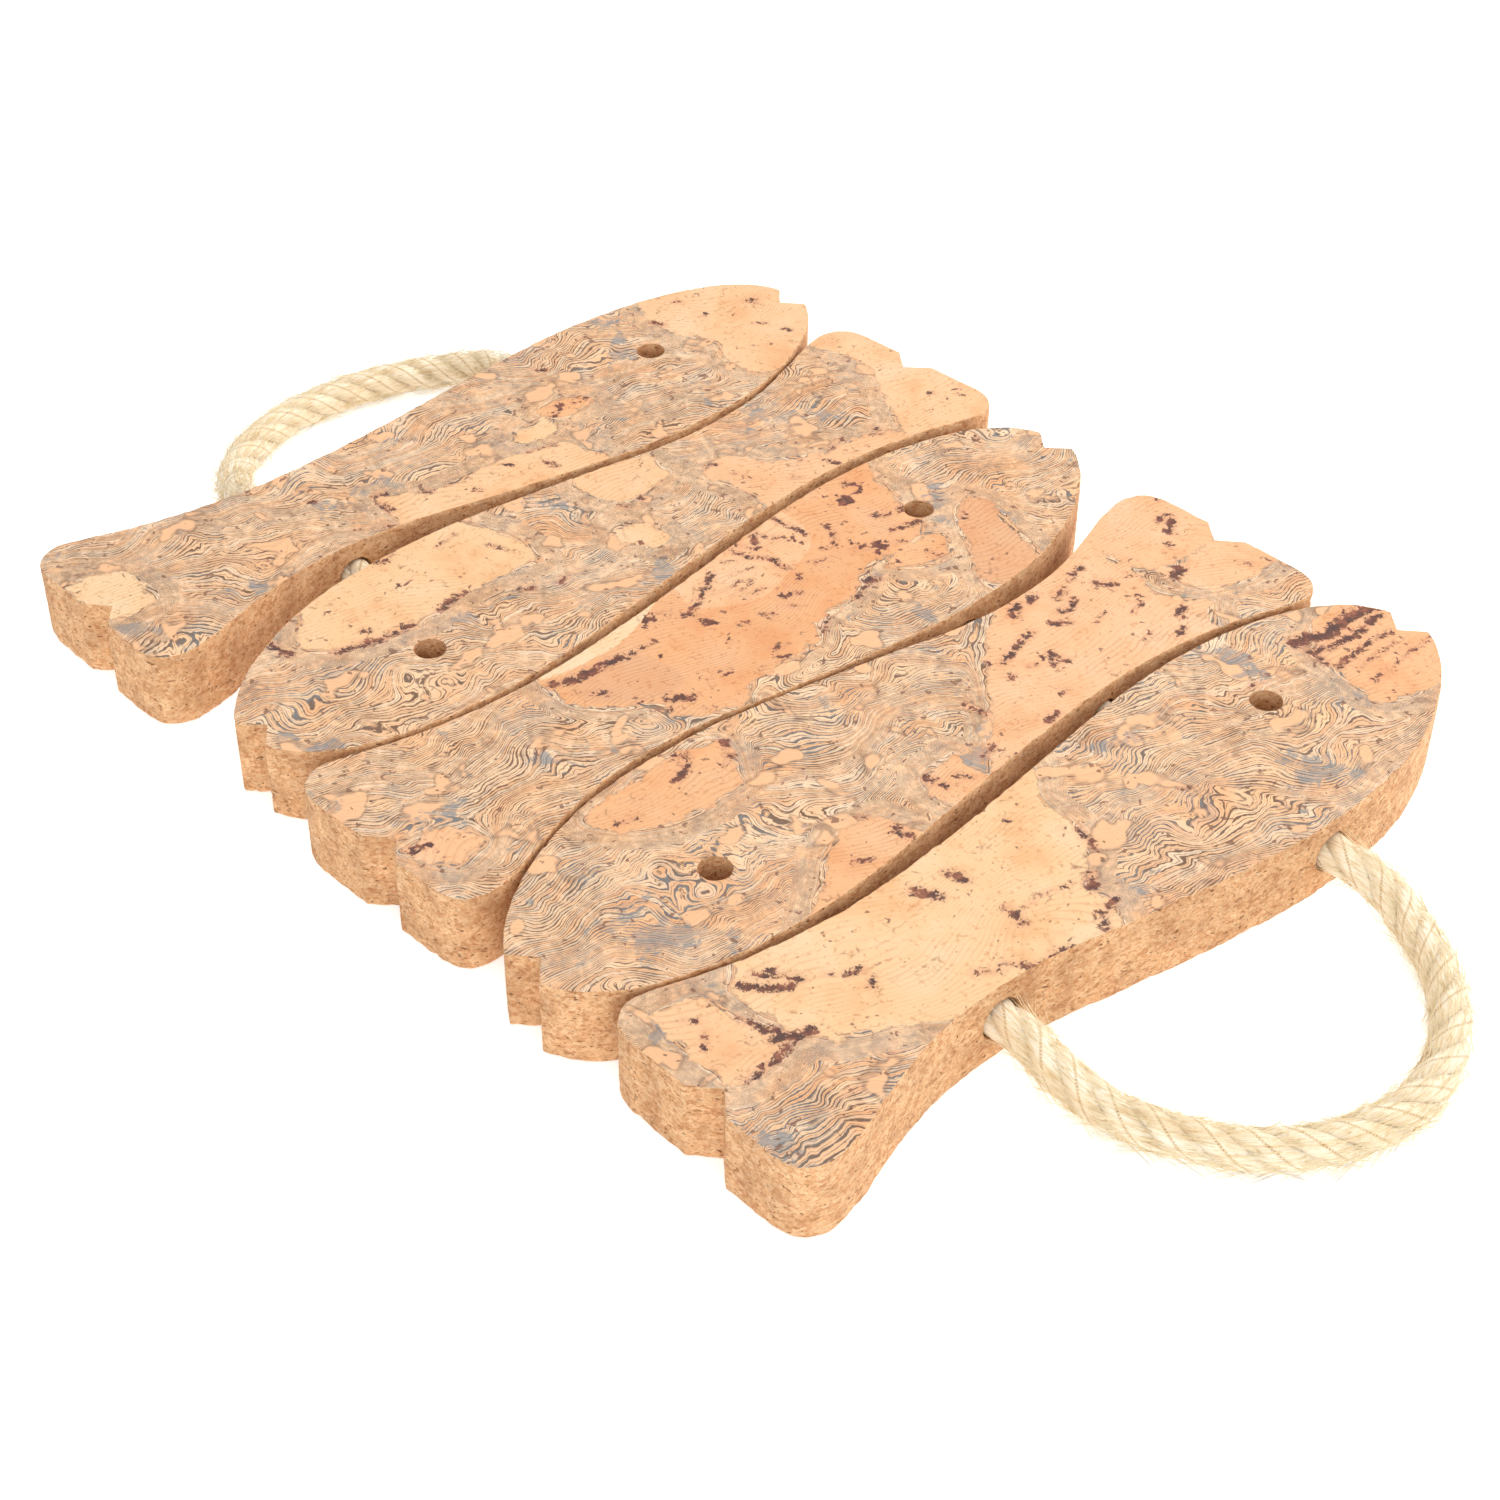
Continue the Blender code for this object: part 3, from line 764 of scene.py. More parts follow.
def core_mesh(number):
    """A slab without its veneer: a sawn wall with a round patch at each mouth of the two rope holes, the
    holes' walls, the eye's wall, and a flat face below and above."""
    rim, normal = rim_of(number)
    z = np.linspace(0, CORE_TOP, LAYERS + 1)
    wall = sawn_wall(rim, normal, z)
    faces = quads(len(z), len(rim), True)
    cell_row, cell_column = np.divmod(np.arange(len(faces)), len(rim))
    keep = np.ones(len(faces), bool)
    sheets = []
    middle_row = int(np.argmin(np.abs(z - HOLE_HEIGHT)))
    rows = np.arange(middle_row - HOLE_CELLS, middle_row + HOLE_CELLS + 1)
    for x in (LEFT_PASS, RIGHT_PASS):
        mouths = []
        for way in (-1, 1):
            far = np.where((rim[:, 1] - SLAB_Y[number]) * way > 0, np.abs(rim[:, 0] - x), 9.0)
            at = int(np.argmin(far))
            columns = np.arange(at - HOLE_CELLS, at + HOLE_CELLS + 1)
            keep &= ~(
                (cell_row >= rows[0]) & (cell_row < rows[-1])
                & (cell_column >= columns[0]) & (cell_column < columns[-1])
            )
            loop = square_loop(columns, rows)
            plane = np.stack([rim[loop[:, 1], 0], z[loop[:, 0]]], axis=1)
            centre = np.array([x, HOLE_HEIGHT])
            rings = ring_patch(plane, circle_like(plane, centre, HOLE_RADIUS), PATCH_RINGS)
            near = np.arange(at - 14, at + 15)
            near = near[np.argsort(rim[near, 0])]
            flat = rings.reshape(-1, 2)
            base = np.stack(
                [flat[:, 0], np.interp(flat[:, 0], rim[near, 0], rim[near, 1]), flat[:, 1]], axis=1
            )
            out = np.stack([np.interp(flat[:, 0], rim[near, 0], normal[near, k]) for k in (0, 1)], axis=1)
            depth = sawn_relief(base)
            ring_number = np.arange(len(base)) // len(loop)
            inner = ring_number >= PATCH_RINGS - 1
            worn = np.where(inner, MOUTH_WEAR, 0.0) * np.where(ring_number == PATCH_RINGS, 2.0, 1.0)
            moved = base.copy()
            moved[:, :2] += out * depth[:, None]
            moved[inner, 0] = base[inner, 0]
            moved[inner, 1] = base[inner, 1] + (depth * out[:, 1] - way * worn)[inner]
            sheets.append((moved, quads(PATCH_RINGS + 1, len(loop), True), 0))
            rim_ring = moved[-len(loop):]
            angle = np.arctan2(rim_ring[:, 2] - HOLE_HEIGHT, rim_ring[:, 0] - x)
            mouths.append(rim_ring[np.argsort(angle)])
        steps = np.linspace(0, 1, 25)[:, None, None]
        sheets.append(tube(list((1 - steps) * mouths[0][None] + steps * mouths[1][None])))
    sheets.append((wall, faces[keep], 0))
    bottom, top = wall[:len(rim)], wall[-len(rim):]
    eye_low, eye_high = eye_ring(number, 0.0), eye_ring(number, CORE_TOP)
    sheets.append(flat_cap(bottom[:, :2], eye_low[:, :2], 0.0))
    sheets.append(flat_cap(top[:, :2], eye_high[:, :2], CORE_TOP))
    sheets.append(tube([eye_ring(number, h) for h in np.linspace(0, CORE_TOP, 20)]))
    return weld(f"fish_{number}_granulated_cork", sheets)


def squeezed(vector, upwards):
    """A vector with its height scaled."""
    made = vector.id_data.nodes.new("ShaderNodeMapping")
    made.inputs["Scale"].default_value = (1.0, 1.0, upwards)
    vector.id_data.links.new(vector, made.inputs["Vector"])
    return made.outputs[0]


granulated, tree, shader, link = material("granulated_cork_grains")
place = tree.nodes.new("ShaderNodeTexCoord").outputs["Object"]
cells = tree.nodes.new("ShaderNodeTexVoronoi")
cells.inputs["Scale"].default_value = 900.0
cells.inputs["Randomness"].default_value = 1.0
link(squeezed(place, 1.5), cells.inputs["Vector"])
cell_tone = tree.nodes.new("ShaderNodeSeparateColor")
link(cells.outputs["Color"], cell_tone.inputs[0])
body = coloured(cell_tone.outputs[0], [
    (0.0, (0.62, 0.32, 0.15)), (0.25, (0.74, 0.42, 0.215)),
    (0.6, (0.80, 0.49, 0.265)), (1.0, (0.84, 0.56, 0.33)),
])
broad = noise(place, 160.0, 4.0, 0.6)
body = mixed(0.55, body, coloured(broad, [
    (0.35, (0.52, 0.42, 0.36)), (0.50, (0.82, 0.80, 0.78)), (0.65, (1.0, 1.0, 1.0))]), "MULTIPLY")
fine = noise(squeezed(place, 1.6), 1500.0, 3.0, 0.65)
body = mixed(0.7, body, coloured(fine, [
    (0.34, (0.55, 0.40, 0.30)), (0.50, (0.95, 0.93, 0.90)), (0.66, (1.0, 1.0, 1.0))]), "MULTIPLY")
flecks = noise(squeezed(place, 2.2), 700.0, 2.0, 0.5)
fleck_mask = coloured(flecks, [(0.655, (0, 0, 0)), (0.70, (1, 1, 1))])
body = mixed(times(fleck_mask, 0.85), body, (0.16, 0.065, 0.025))
link(body, shader.inputs["Base Color"])
shader.inputs["Roughness"].default_value = 0.9
shader.inputs["Specular IOR Level"].default_value = 0.25
relief = less(times(fine, 1.0), times(fleck_mask, 0.8))
bumped(shader, relief, 0.55, 0.0004)

for number in (1, 2, 3, 4, 5):
    core = core_mesh(number)
    core.data.materials.append(granulated)
    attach(core, f"fish_{number}")
    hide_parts(f"fish_{number}_core")


# ---- Fish slabs: marbled cork faces -------------------------------------------
# A thin slice of marbled cork is glued on each core: pressed scrap of cork bark, cut
# across, so that packed wavy layers swirl round smooth pieces with dark cracks.

# Smooth pieces of each slab, in millimetres of its own plan: outline, then how brown it is.
SMOOTH_PIECES = {
    1: (
        (((75, 30), (71, 15), (72, 5), (76, -4), (72, -13), (78, -24), (112, -24), (112, 30)), 0.3),
        (((-33, -3), (-26, -8), (-20, -11), (-5, -11), (10, -13), (17, -17), (16, -30), (-31, -28),
          (-34, -14)), 0.25),
        (((20, 1), (28, 2), (34, -3), (30, -6), (22, -5)), 0.65),
        (((10, -3), (20, -3), (18, -9), (8, -8)), 0.1),
        (((-107, 14), (-95, 11), (-92, 0), (-95, -5), (-105, -3)), 0.05),
    ),
    2: (
        (((-110, 28), (-88, 30), (-80, 21), (-84, 12), (-93, 0), (-96, -14), (-94, -28), (-110, -28)), 0.3),
        (((-77, 17), (-75, 26), (-34, 26), (-33, 12), (-31, 0), (-38, -4), (-46, 5), (-58, 13),
          (-67, 14)), 0.5),
        (((21, -3), (40, -6), (57, -4), (75, -9), (80, -16), (74, -24), (64, -34), (30, -34), (21, -22),
          (19, -11)), 0.15),
        (((-6, 12), (-1, 12), (2, 4), (0, 0), (-6, 4)), 0.2),
        (((-26, -8), (-10, -6), (-6, -20), (-18, -24), (-26, -18)), 0.3),
    ),
    3: (
        (((-48, 8), (-47, 18), (-38, 30), (58, 34), (63, 20), (60, 10), (57, 0), (48, -4), (36, -3), (30, -6),
          (22, -9), (12, -9), (7, -13), (2, -15), (-15, -15), (-22, -19), (-28, -17), (-34, -12), (-36, -5),
          (-43, 1)), 0.72),
        (((-47, 18), (-38, 16), (-24, 16), (-10, 21), (2, 26), (-10, 32), (-44, 30)), 0.0),
        (((-46, 11), (-26, 10), (-25, -4), (-36, -3), (-44, 4)), 0.84),
        (((-2, 24), (-4, 13), (8, 6), (20, 8), (34, 14), (34, 30), (4, 30)), 0.4),
        (((73, -1), (66, -3), (57, -15), (50, -25), (53, -31), (65, -29), (70, -17), (74, -8)), 0.85),
        (((38, -6), (44, -12), (52, -13), (56, -6), (48, -3)), 0.6),
        (((-104, -4), (-93, -5), (-90, -13), (-99, -15)), 0.5),
    ),
    4: (
        (((-82, 15), (-66, 26), (0, 30), (-1, 22), (-14, 10), (-24, 0), (-31, -8), (-42, -15), (-48, -26),
          (-76, -26), (-79, -8), (-76, 4)), 0.45),
        (((-108, -2), (-92, 0), (-82, -3), (-79, -12), (-80, -28), (-108, -30)), 0.5),
        (((-108, 14), (-96, 15), (-85, 10), (-84, 3), (-92, 0), (-104, 2)), 0.45),
        (((0, 12), (1, 26), (12, 27), (11, 14)), 0.55),
        (((26, 16), (25, 30), (58, 31), (50, 23), (38, 15)), 0.6),
        (((39, -11), (52, -10), (64, -14), (70, -24), (58, -26), (38, -27), (33, -22)), 0.65),
    ),
    5: (
        (((-84, 18), (-78, 24), (-70, 30), (4, 30), (0, 14), (-1, 4), (-6, -3), (-13, -8), (-12, -13),
          (-17, -22), (-24, -30), (-54, -30), (-58, -18), (-66, -11), (-78, -5), (-82, 2), (-84, 9)), 0.12),
        (((-100, 23), (-101, 5), (-99, -1), (-88, -1), (-85, 4), (-88, 12), (-90, 21)), 0.3),
        (((81, 5), (80, -14), (108, -14), (108, 16), (88, 13)), 0.6),
    ),
}
# Cracks and knots: points of each, then half the width and how strong it is.
CRACKS = {
    1: (
        (((-33, -6), (-33, -11)), 0.8, 0.7), (((-32, -3), (-30, -4)), 0.6, 0.8),
        (((-22, -9), (-21, -10)), 0.9, 0.8),
        (((7, -18), (8, -22)), 0.7, 0.9), (((-13, -17), (-12, -18)), 0.5, 0.8),
        (((82, 19), (83, 18)), 0.6, 0.9),
        (((97, 7), (99, 6)), 0.7, 0.9), (((97, 6), (98, 3)), 0.5, 0.9), (((90, -3), (92, -5)), 0.4, 0.9),
        (((70, 15), (72, 12)), 0.9, 0.6), (((32, 17), (34, 15)), 0.6, 0.8),
        (((-45, 5), (-44, 4)), 0.6, 0.7),
        (((94, -10), (95, -12)), 0.4, 0.8), (((6, -12), (14, -14)), 0.3, 0.7),
        (((-38, -15), (-36, -16)), 0.7, 0.7),
    ),
    2: (
        (((42, -6), (50, -5)), 0.9, 0.9), (((58, -5), (66, -6), (72, -8), (76, -9)), 1.0, 0.95),
        (((66, -10), (67, -11)), 0.6, 1.0), (((84, -16), (84, -22)), 1.3, 0.6),
        (((24, -13), (25, -16)), 0.6, 0.7),
        (((22, 6), (24, 7)), 0.8, 0.7), (((30, 4), (32, 2)), 0.9, 0.6), (((-57, 18), (-56, 16)), 0.5, 0.8),
        (((-46, 16), (-44, 15)), 0.5, 0.8), (((-37, 4), (-36, 3)), 0.3, 0.8),
        (((-36, -2), (-34, -4)), 0.6, 0.7),
        (((-13, -4), (-13, -5)), 0.5, 0.8), (((-8, -5), (-7, -6)), 0.4, 0.9),
        (((46, -28), (48, -30)), 1.0, 0.8),
        (((28, -25), (34, -24)), 0.4, 0.8), (((-98, 14), (-97, 13)), 0.4, 0.8),
        (((-96, -12), (-94, -13)), 0.4, 0.8),
        (((-75, 15), (-74, 17)), 0.5, 0.8), (((-52, 11), (-49, 12)), 0.5, 0.5),
        (((-66, 12), (-60, 13)), 0.4, 0.6),
    ),
    3: (
        (((-46, 15), (-42, 13), (-36, 12.5), (-30, 12)), 1.2, 0.9), (((-28, 11), (-20, 11)), 0.5, 0.8),
        (((-42, 7), (-40, 5)), 0.6, 1.0), (((-32, -6), (-28, -9)), 1.1, 0.9),
        (((-37, -7), (-34, -9)), 0.5, 0.7),
        (((-9, 13), (-4, 14), (2, 17), (7, 20)), 0.7, 0.9), (((-8, 14), (-7, 10)), 0.5, 0.9),
        (((2, 14), (8, 13)), 0.3, 0.6), (((4, 11), (11, 11)), 0.3, 0.6), (((10, 17), (16, 15)), 0.3, 0.6),
        (((6, 8), (12, 8)), 0.3, 0.7), (((9, 14), (12, 12)), 0.4, 0.7), (((12, 22), (15, 20)), 0.3, 0.6),
        (((12, 3), (16, 1)), 0.7, 0.9), (((10, 0), (12, -2)), 0.5, 0.9),
        (((17, 24), (18, 19), (21, 15), (21, 10)), 0.6, 0.95),
        (((19, 25), (22, 20), (25, 24)), 0.6, 0.9), (((26, 25), (27, 20)), 0.5, 0.8),
        (((33, 26), (34, 21), (34, 16)), 0.6, 0.95),
        (((28, 21), (30, 17)), 0.5, 0.7), (((40, 15), (38, 10), (36, 9)), 0.6, 0.9),
        (((27, 7), (30, 6)), 0.5, 0.8),
        (((21, 6), (20, 4)), 0.5, 0.8), (((51, 10), (54, 8)), 1.1, 0.7), (((50, 3), (57, 1)), 0.9, 0.7),
        (((56, 24), (58, 22)), 0.7, 0.9), (((30, -7), (33, -8)), 1.2, 0.8),
        (((24, -10), (28, -8)), 0.7, 0.8),
        (((9, -13), (14, -10)), 0.6, 0.8), (((-3, -10), (-2, -10)), 0.6, 1.0),
        (((-18, -7), (-15, -8)), 0.3, 0.8),
        (((-2, 2), (0, 1)), 0.4, 0.8), (((4, 1), (6, -1)), 0.4, 0.8), (((33, 9), (35, 8)), 0.4, 0.8),
        (((45, 0), (48, -2)), 0.6, 0.7), (((49, -9), (50, -12)), 0.6, 0.8),
        (((92, 12), (95, 16)), 0.5, 0.6),
    ),
    4: (
        (((-53, -2), (-50, -4)), 0.8, 1.0), (((-60, -7), (-57, -5), (-55, -6)), 0.8, 1.0),
        (((-61, -11), (-58, -10)), 0.9, 1.0), (((-71, -5), (-69, -8)), 1.0, 1.0),
        (((-71, -14), (-67, -14)), 0.7, 0.9),
        (((-55, -14), (-52, -13)), 0.9, 1.0), (((-49, -14), (-46, -12)), 1.0, 0.9),
        (((-44, -5), (-38, -4), (-31, -2)), 0.7, 1.0), (((-42, 7), (-41, 3), (-39, 6)), 0.7, 1.0),
        (((-36, 4), (-34, 3)), 0.6, 0.7), (((-28, 3), (-29, 3)), 0.6, 0.8),
        (((-15, 8), (-14, 3)), 0.45, 0.9),
        (((-70, 17), (-66, 18)), 0.5, 0.9), (((-76, 12), (-73, 13)), 0.7, 0.9),
        (((-26, 18), (-23, 18)), 0.8, 1.0),
        (((-34, 14), (-32, 14)), 0.5, 0.9), (((-8, 16), (-4, 17)), 0.9, 0.8),
        (((-63, 13), (-60, 14)), 0.35, 0.8),
        (((-102, -13), (-99, -11), (-97, -9)), 1.0, 1.0), (((-101, -14), (-99, -14)), 1.0, 0.9),
        (((-87, 2), (-84, 3)), 1.3, 1.0), (((-93, -7), (-93, -6)), 0.5, 0.9),
        (((-107, -20), (-106, -20)), 0.7, 0.9),
        (((3, 20), (5, 17)), 0.9, 0.6), (((9, 18), (10, 14)), 1.3, 0.5), (((26, 26), (26, 20)), 0.8, 0.9),
        (((28, 14), (29, 13)), 0.6, 0.8), (((36, 24), (40, 22)), 0.5, 0.8),
        (((34, -19), (38, -18)), 0.5, 0.8),
        (((41, -26), (43, -23), (48, -21)), 0.8, 0.9), (((62, -18), (66, -19)), 0.6, 0.8),
        (((32, -24), (33, -22)), 0.6, 0.9),
        (((-72, 2), (-73, 4)), 0.4, 0.8), (((-62, 1), (-58, 2), (-56, 3)), 0.45, 0.5),
    ),
    5: (
        (((-82, 18), (-79, 14), (-75, 11)), 1.0, 0.9), (((-78, 18), (-74, 14), (-72, 11)), 0.8, 1.0),
        (((-65, 6), (-62, 5)), 0.8, 1.0), (((-64, 1), (-62, 2)), 0.5, 0.9),
        (((-39, 14), (-36, 9)), 1.4, 0.5),
        (((-30, 13), (-29, 9)), 1.3, 0.6), (((-29, -2), (-30, -7)), 0.9, 1.0),
        (((-1, 4), (-3, -2)), 0.7, 0.9),
        (((-30, -5), (-22, -4), (-14, -6)), 0.35, 0.6), (((-10, -7), (-12, -9)), 1.0, 1.0),
        (((-47, -10), (-43, -13)), 0.6, 1.0), (((-41, -12), (-36, -18), (-32, -17), (-28, -18)), 0.55, 1.0),
        (((-20, -20), (-17, -16), (-12, -15)), 0.8, 1.0), (((-87, 3), (-84, 1), (-81, 0)), 1.1, 1.0),
        (((-85, 5), (-84, 1), (-90, -1)), 0.8, 0.9),
        (((-98, -1), (-90, -1)), 0.5, 0.9), (((-88, 12), (-86, 3)), 0.45, 0.9),
        (((-98, 10), (-95, 13)), 0.5, 0.8),
        (((-96, 18), (-94, 16)), 0.4, 0.8), (((-68, 9), (-67, 8)), 0.35, 0.8),
        (((-75, 17), (-74, 16)), 0.4, 0.8),
        (((82, 13), (90, 10), (100, 11), (106, 9)), 1.9, 0.75), (((82, 8), (94, 6), (104, 7)), 1.2, 0.8),
        (((82, 1), (94, 2), (101, 1)), 0.6, 0.85), (((84, -2), (98, -2)), 0.4, 0.8),
        (((83, -7), (105, -6)), 0.25, 0.9),
        (((81, 4), (82, 12)), 0.8, 0.9), (((62, 10), (64, 9)), 0.4, 0.7), (((24, -2), (26, -3)), 0.4, 0.8),
    ),
}
# Slate-coloured smudges among the layers: points of each, then its radius.
SLATE = {
    1: (
        (((-104, -10), (-100, -14)), 4), (((-44, 0), (-28, 0)), 7), (((56, 10), (62, 24)), 6),
        (((-80, -12), (-74, -16)), 5),
    ),
    2: (
        (((-70, 0), (-60, -10)), 9), (((1, 15), (5, 22)), 6), (((3, -16), (6, -24)), 6),
        (((98, 16), (104, 6)), 6), (((34, 3), (50, 1)), 4),
    ),
    3: (
        (((28, -26), (32, -23)), 6), (((-100, 0), (-92, 1)), 5), (((-66, 0), (-64, -2)), 5),
        (((62, -2), (70, 8)), 4),
    ),
    4: (
        (((76, 16), (86, 12)), 8), (((77, 0), (86, 2)), 6), (((-8, 12), (0, 16)), 6),
        (((74, 25), (70, 20)), 4),
    ),
    5: (
        (((67, 10), (68, 20)), 5), (((46, -16), (54, -22)), 8), (((-6, -12), (-4, -20)), 5),
        (((-104, -8), (-104, -24)), 5), (((-100, 18), (-88, 22)), 5), (((22, 18), (28, 16)), 4),
    ),
}


def to_stroke(points, stroke):
    """Distance from each point to a chain of straight pieces."""
    nearest = np.full(len(points), 1e9)
    for a, b in zip(stroke[:-1], stroke[1:]):
        a, b = np.array(a, float), np.array(b, float)
        t = np.clip(((points - a) @ (b - a)) / max((b - a) @ (b - a), 1e-9), 0, 1)
        nearest = np.minimum(nearest, np.linalg.norm(points - a - t[:, None] * (b - a), axis=1))
    return nearest


def face_fields(number, points):
    """Four fields of a slab's plan: depth inside the nearest smooth piece in millimetres, below 0 outside
    it; how brown that piece is; how far each point is from a crack in millimetres, below 0 in it; and
    slate from 0 to 1."""
    plan = in_slab(number, points) * 1000
    depth = np.full(len(plan), -60.0)
    brown = np.zeros(len(plan))
    for outline, how_brown in SMOOTH_PIECES[number]:
        curve = smooth_through(outline + outline[:1], 8)[:-1]
        away = to_stroke(plan, np.vstack([curve, curve[:1]]))
        signed = np.where(inside_outline(plan, curve), away, -away)
        brown = np.where((signed > depth) | (signed > 0), how_brown, brown)
        depth = np.maximum(depth, signed)
    crack = np.full(len(plan), 9.0)
    for stroke, half_width, strength in CRACKS[number]:
        away = to_stroke(plan, stroke) - half_width
        crack = np.minimum(crack, away + (1 - strength) * 0.9)
    slate = np.zeros(len(plan))
    for stroke, radius in SLATE[number]:
        slate = np.maximum(slate, np.clip(1.15 - to_stroke(plan, stroke) / radius, 0, 1))
    return depth, brown, crack, slate


def face_mesh(number):
    """A marbled face: a top grid that dips in the cracks, with a round patch at the eye, a thin wall that
    carries on the core's, and a flat underside."""
    rim, normal = rim_of(number)
    plan = on_mat(number, PLAN.reshape(-1, 2))
    crack = face_fields(number, plan)[2]
    top = np.hstack([plan, np.full((len(plan), 1), SLAB_THICKNESS)])
    dip = 0.00022 / (1 + np.exp((crack + 0.1) * 5)) + 0.00002 * (1 - grain(top, 0.0016, 31))
    top[:, 2] -= dip
    z = CORE_TOP + np.array([0, 0.00025, 0.00050, 0.00066, 0.00078, 0.00085, VENEER])
    wall = sawn_wall(rim, normal, z)
    rim_index = RIM[:, 0] * (ROWS + 1) + RIM[:, 1]
    top[rim_index, :2] = wall[-len(rim):, :2]
    wall[-len(rim):, 2] = top[rim_index, 2]
    faces = quads(COLUMNS + 1, ROWS + 1, False)
    column, row = np.divmod(np.arange(len(faces)), ROWS)
    eye = (
        column >= EYE_COLUMNS[0]
    ) & (column < EYE_COLUMNS[-1]) & (row >= EYE_ROWS[0]) & (row < EYE_ROWS[-1])
    square = top[EYE_SQUARE[:, 1] * (ROWS + 1) + EYE_SQUARE[:, 0]]
    eye_top = eye_ring(number, SLAB_THICKNESS)
    rings = ring_patch(square, eye_top, PATCH_RINGS)
    rings[-1, :, 2] -= 0.00018
    rings[-2, :, 2] -= 0.00004
    high = rings[-1].copy()
    low = eye_ring(number, CORE_TOP)
    steps = np.linspace(0, 1, 4)[:, None, None]
    bottom = wall[:len(rim)]
    return weld(f"fish_{number}_marbled_cork", [
        (top, faces[~eye], 0),
        (rings.reshape(-1, 3), quads(PATCH_RINGS + 1, len(square), True), 0),
        (*tube(list((1 - steps) * low[None] + steps * high[None]))[:2], 1),
        (wall, quads(len(z), len(rim), True), 1),
        flat_cap(bottom[:, :2], low[:, :2], CORE_TOP),
    ])


marbled, tree, shader, link = material("marbled_cork_layers")
place = tree.nodes.new("ShaderNodeTexCoord").outputs["Object"]


def moved(vector, scale, amount, detail=1.0):
    """A vector pushed by coloured noise of the given scale, by up to the amount each way."""
    wave = tree.nodes.new("ShaderNodeVectorMath")
    wave.operation = "MULTIPLY_ADD"
    link(noise(vector, scale, detail, 0.5, "Color"), wave.inputs[0])
    wave.inputs[1].default_value = (amount, amount, amount)
    link(vector, wave.inputs[2])
    return wave.outputs[0]


def levels(vector, along_y, along_x):
    """A number that rises along a vector's Y and X by these amounts in each metre."""
    split = tree.nodes.new("ShaderNodeSeparateXYZ")
    link(vector, split.inputs[0])
    return linear(split.outputs[1], along_y, times(split.outputs[0], along_x))


depth = attribute(tree, "depth")
brown = attribute(tree, "brown")
crack = attribute(tree, "crack")
slate = attribute(tree, "slate")

# Layers: level lines of a plan pushed about by three sizes of waves, turning to follow the smooth pieces.
swirl = moved(moved(moved(place, 34.0, 0.036, 1.5), 110.0, 0.0062, 1.0), 380.0, 0.0011, 2.0)
level = levels(swirl, 1150.0, 300.0)
edge_wave = linear(noise(place, 150.0, 5.0, 0.62), 9.0, calc("ADD", depth, -4.5))
around = linear(noise(place, 85.0, 2.0), 9.0, times(depth, 0.85))
near = tree.nodes.new("ShaderNodeMapRange")
near.interpolation_type = "SMOOTHSTEP"
near.inputs["From Min"].default_value = -6.0
near.inputs["From Max"].default_value = -0.5
link(depth, near.inputs["Value"])
turned = tree.nodes.new("ShaderNodeMix")
turned.data_type = "FLOAT"
link(near.outputs[0], turned.inputs[0])
link(level, turned.inputs[2])
link(around, turned.inputs[3])
level = turned.outputs[0]
layer = tree.nodes.new("ShaderNodeTexWhiteNoise")
layer.noise_dimensions = "1D"
link(calc("FLOOR", level), layer.inputs["W"])
seam = zigzag(level)
patchy = noise(place, 130.0, 3.0, 0.6)
broken = noise(moved(place, 200.0, 0.004), 520.0, 3.0, 0.6)
weight = linear(patchy, 1.0, times(broken, 0.9))
thickness = linear(weight, 1.0, -0.69)
line = calc("DIVIDE", less(seam, less(1.0, thickness)), 0.07, clamp=True)
half = zigzag(times(level, 2.3))
thin = times(linear(half, 5.0, -3.5), linear(broken, 5.0, -1.6), clamp=True)

cream = coloured(layer.outputs["Value"], [
    (0.0, (0.72, 0.44, 0.26)), (0.25, (0.80, 0.52, 0.32)), (0.6, (0.85, 0.59, 0.38)),
    (0.85, (0.88, 0.66, 0.46)), (1.0, (0.80, 0.49, 0.31)),
])
warm = coloured(noise(moved(place, 60.0, 0.012), 55.0, 3.0, 0.6), [
    (0.36, (1.0, 0.90, 0.80)), (0.50, (0.97, 0.96, 0.95)), (0.62, (0.98, 0.84, 0.72))])
layers = mixed(1.0, cream, warm, "MULTIPLY")
blue = coloured(noise(moved(place, 45.0, 0.016), 62.0, 2.0, 0.5), [
    (0.38, (0.16, 0.085, 0.050)), (0.49, (0.16, 0.115, 0.090)), (0.57, (0.165, 0.170, 0.175))])
grey = calc("GREATER_THAN", layer.outputs["Value"], 0.66)
grey = times(grey, linear(patchy, 5.0, -2.0, clamp=True))
layers = mixed(times(grey, 0.42), layers, (0.46, 0.36, 0.27))
layers = mixed(times(line, 0.95), layers, blue)
layers = mixed(times(thin, 0.85), layers, (0.18, 0.110, 0.075))
island = noise(moved(place, 110.0, 0.006), 95.0, 2.0, 0.5)
island = times(less(island, 0.615), 30.0)
islet = less(1.0, calc("ABSOLUTE", island), clamp=True)
layers = mixed(times(calc("ADD", island, 0.0, clamp=True), 0.85), layers, (0.82, 0.47, 0.26))
layers = mixed(times(islet, times(broken, 0.9)), layers, (0.20, 0.11, 0.07))
smudge = noise(moved(place, 80.0, 0.010), 150.0, 4.0, 0.72)
smudge = linear(slate, 0.17, smudge)
smudge = times(less(smudge, 0.635), 18.0, clamp=True)
smudge = times(smudge, linear(layer.outputs["Value"], 0.8, 0.40, clamp=True))
layers = mixed(times(smudge, 0.72), layers, (0.20, 0.22, 0.235))

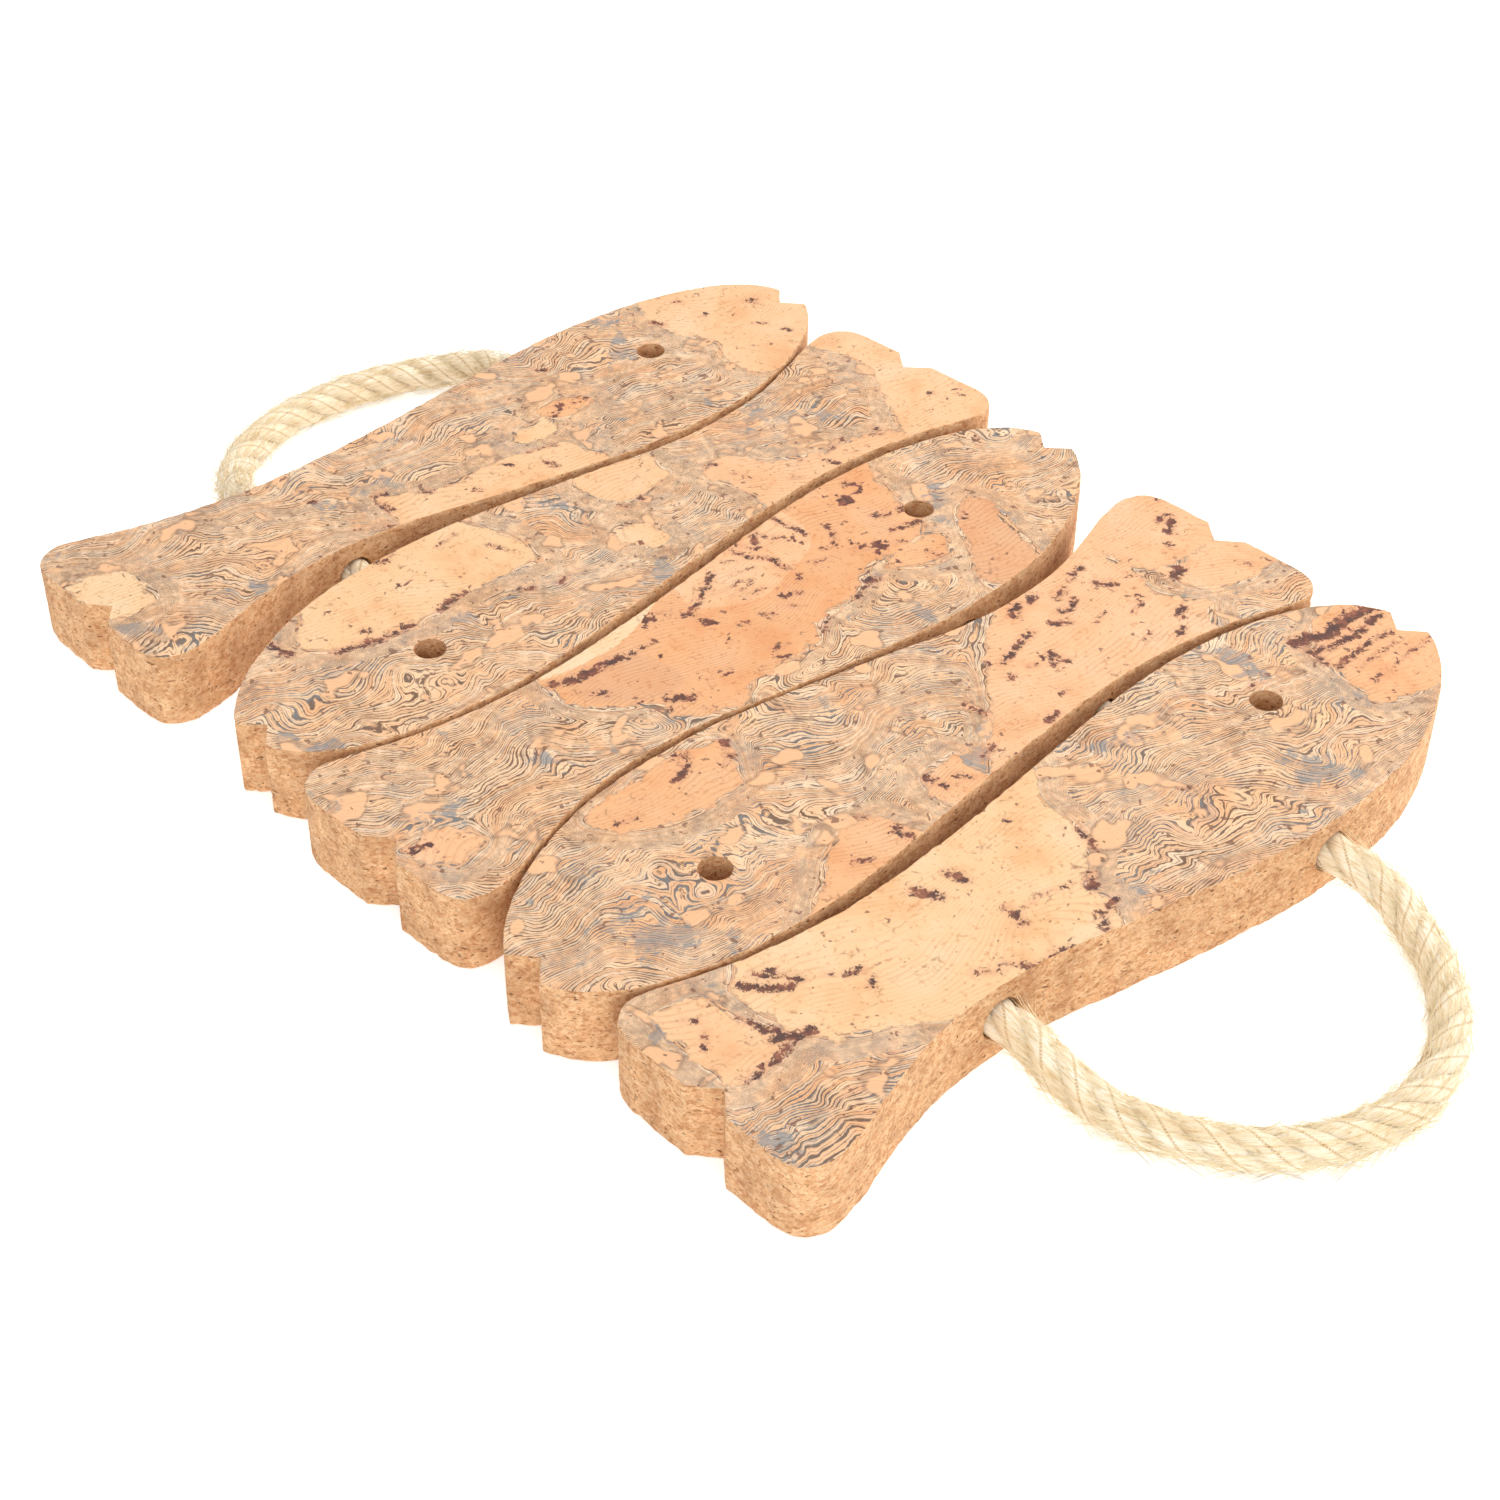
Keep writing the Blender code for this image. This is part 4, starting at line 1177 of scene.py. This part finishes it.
# Smooth pieces: pale to orange cork with faint curved grain and small pits.
peach = coloured(brown, [
    (0.0, (0.80, 0.58, 0.36)), (0.12, (0.80, 0.525, 0.30)), (0.45, (0.79, 0.475, 0.275)),
    (0.70, (0.76, 0.405, 0.205)), (1.0, (0.62, 0.345, 0.205)),
])
flow = moved(moved(place, 22.0, 0.035), 150.0, 0.0018)
ring = zigzag(levels(flow, 800.0, 150.0))
ring = times(calc("POWER", ring, 4.0), linear(patchy, 3.0, -1.0), clamp=True)
piece = mixed(times(ring, linear(brown, 0.75, 0.36)), peach, (0.50, 0.25, 0.13))
cloud = coloured(noise(place, 70.0, 3.0, 0.6), [
    (0.32, (0.93, 0.78, 0.66)), (0.46, (1.0, 0.97, 0.93)),
    (0.56, (1.0, 1.0, 1.0)), (0.68, (1.0, 1.08, 1.18)),
])
piece = mixed(0.8, piece, cloud, "MULTIPLY")
speckle = coloured(noise(place, 900.0, 2.0, 0.6), [(0.30, (0.72, 0.55, 0.42)), (0.42, (1.0, 1.0, 1.0))])
piece = mixed(0.6, piece, speckle, "MULTIPLY")
inside = linear(edge_wave, 2.2, 0.5, clamp=True)
rim_line = less(1.0, calc("ABSOLUTE", times(edge_wave, 2.2)), clamp=True)
surface = mixed(inside, layers, piece)
surface = mixed(times(rim_line, times(broken, 0.75)), surface, (0.30, 0.19, 0.13))

# Pits and cracks: dark purple and red brown, feathery at the edge.
pits = noise(moved(place, 300.0, 0.002), 430.0, 2.0, 0.55)
pit = calc("DIVIDE", less(pits, linear(inside, 0.035, 0.660)), 0.03, clamp=True)
spots = linear(noise(moved(place, 250.0, 0.004), 105.0, 3.0, 0.6), -30.0, 21.2)
spots = less(linear(inside, -5.0, calc("ADD", spots, 5.0)), times(brown, 2.4))
crack = calc("MINIMUM", crack, spots)
feather = linear(noise(moved(place, 300.0, 0.003), 470.0, 6.0, 0.78), 10.0, -5.0)
torn = times(less(calc("ADD", times(crack, -1.0), feather), -0.14), 2.6, clamp=True)
reach = times(less(1.8, crack), 0.9, clamp=True)
torn = times(torn, reach)
dark = coloured(noise(place, 330.0, 3.0, 0.6), [
    (0.36, (0.045, 0.026, 0.032)), (0.50, (0.10, 0.036, 0.032)),
    (0.62, (0.22, 0.075, 0.050)), (0.75, (0.36, 0.15, 0.09)),
])
vein = noise(moved(place, 260.0, 0.004), 75.0, 3.0, 0.6)
vein = less(1.0, times(calc("ABSOLUTE", less(vein, 0.5)), 55.0), clamp=True)
vein = times(vein, linear(noise(place, 240.0, 3.0, 0.65), 9.0, -5.0, clamp=True))
vein = times(vein, inside)
surface = mixed(times(vein, 0.75), surface, (0.26, 0.12, 0.07))
halo = times(less(1.5, crack), 0.38, clamp=True)
surface = mixed(times(halo, 0.60), surface, (0.60, 0.29, 0.17))
surface = mixed(times(torn, 0.92), surface, dark)
surface = mixed(times(pit, 0.80), surface, (0.20, 0.10, 0.065))
link(surface, shader.inputs["Base Color"])
shader.inputs["Roughness"].default_value = 0.78
shader.inputs["Specular IOR Level"].default_value = 0.3
height = linear(line, -0.5, times(torn, -1.0))
height = calc("ADD", height, linear(noise(place, 1400.0, 3.0, 0.6), 0.5, times(pit, -0.8)))
bumped(shader, height, 0.25, 0.0002)

for number in (1, 2, 3, 4, 5):
    face = face_mesh(number)
    where = np.empty(3 * len(face.data.vertices), np.float32)
    face.data.vertices.foreach_get("co", where)
    fields = face_fields(number, where.reshape(-1, 3)[:, :2].astype(float))
    for label, values in zip(("depth", "brown", "crack", "slate"), fields):
        layer = face.data.attributes.new(label, "FLOAT", "POINT")
        layer.data.foreach_set("value", values.astype(np.float32))
    face.data.materials.append(marbled)
    face.data.materials.append(granulated)
    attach(face, f"fish_{number}")
    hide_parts(f"fish_{number}_veneer")
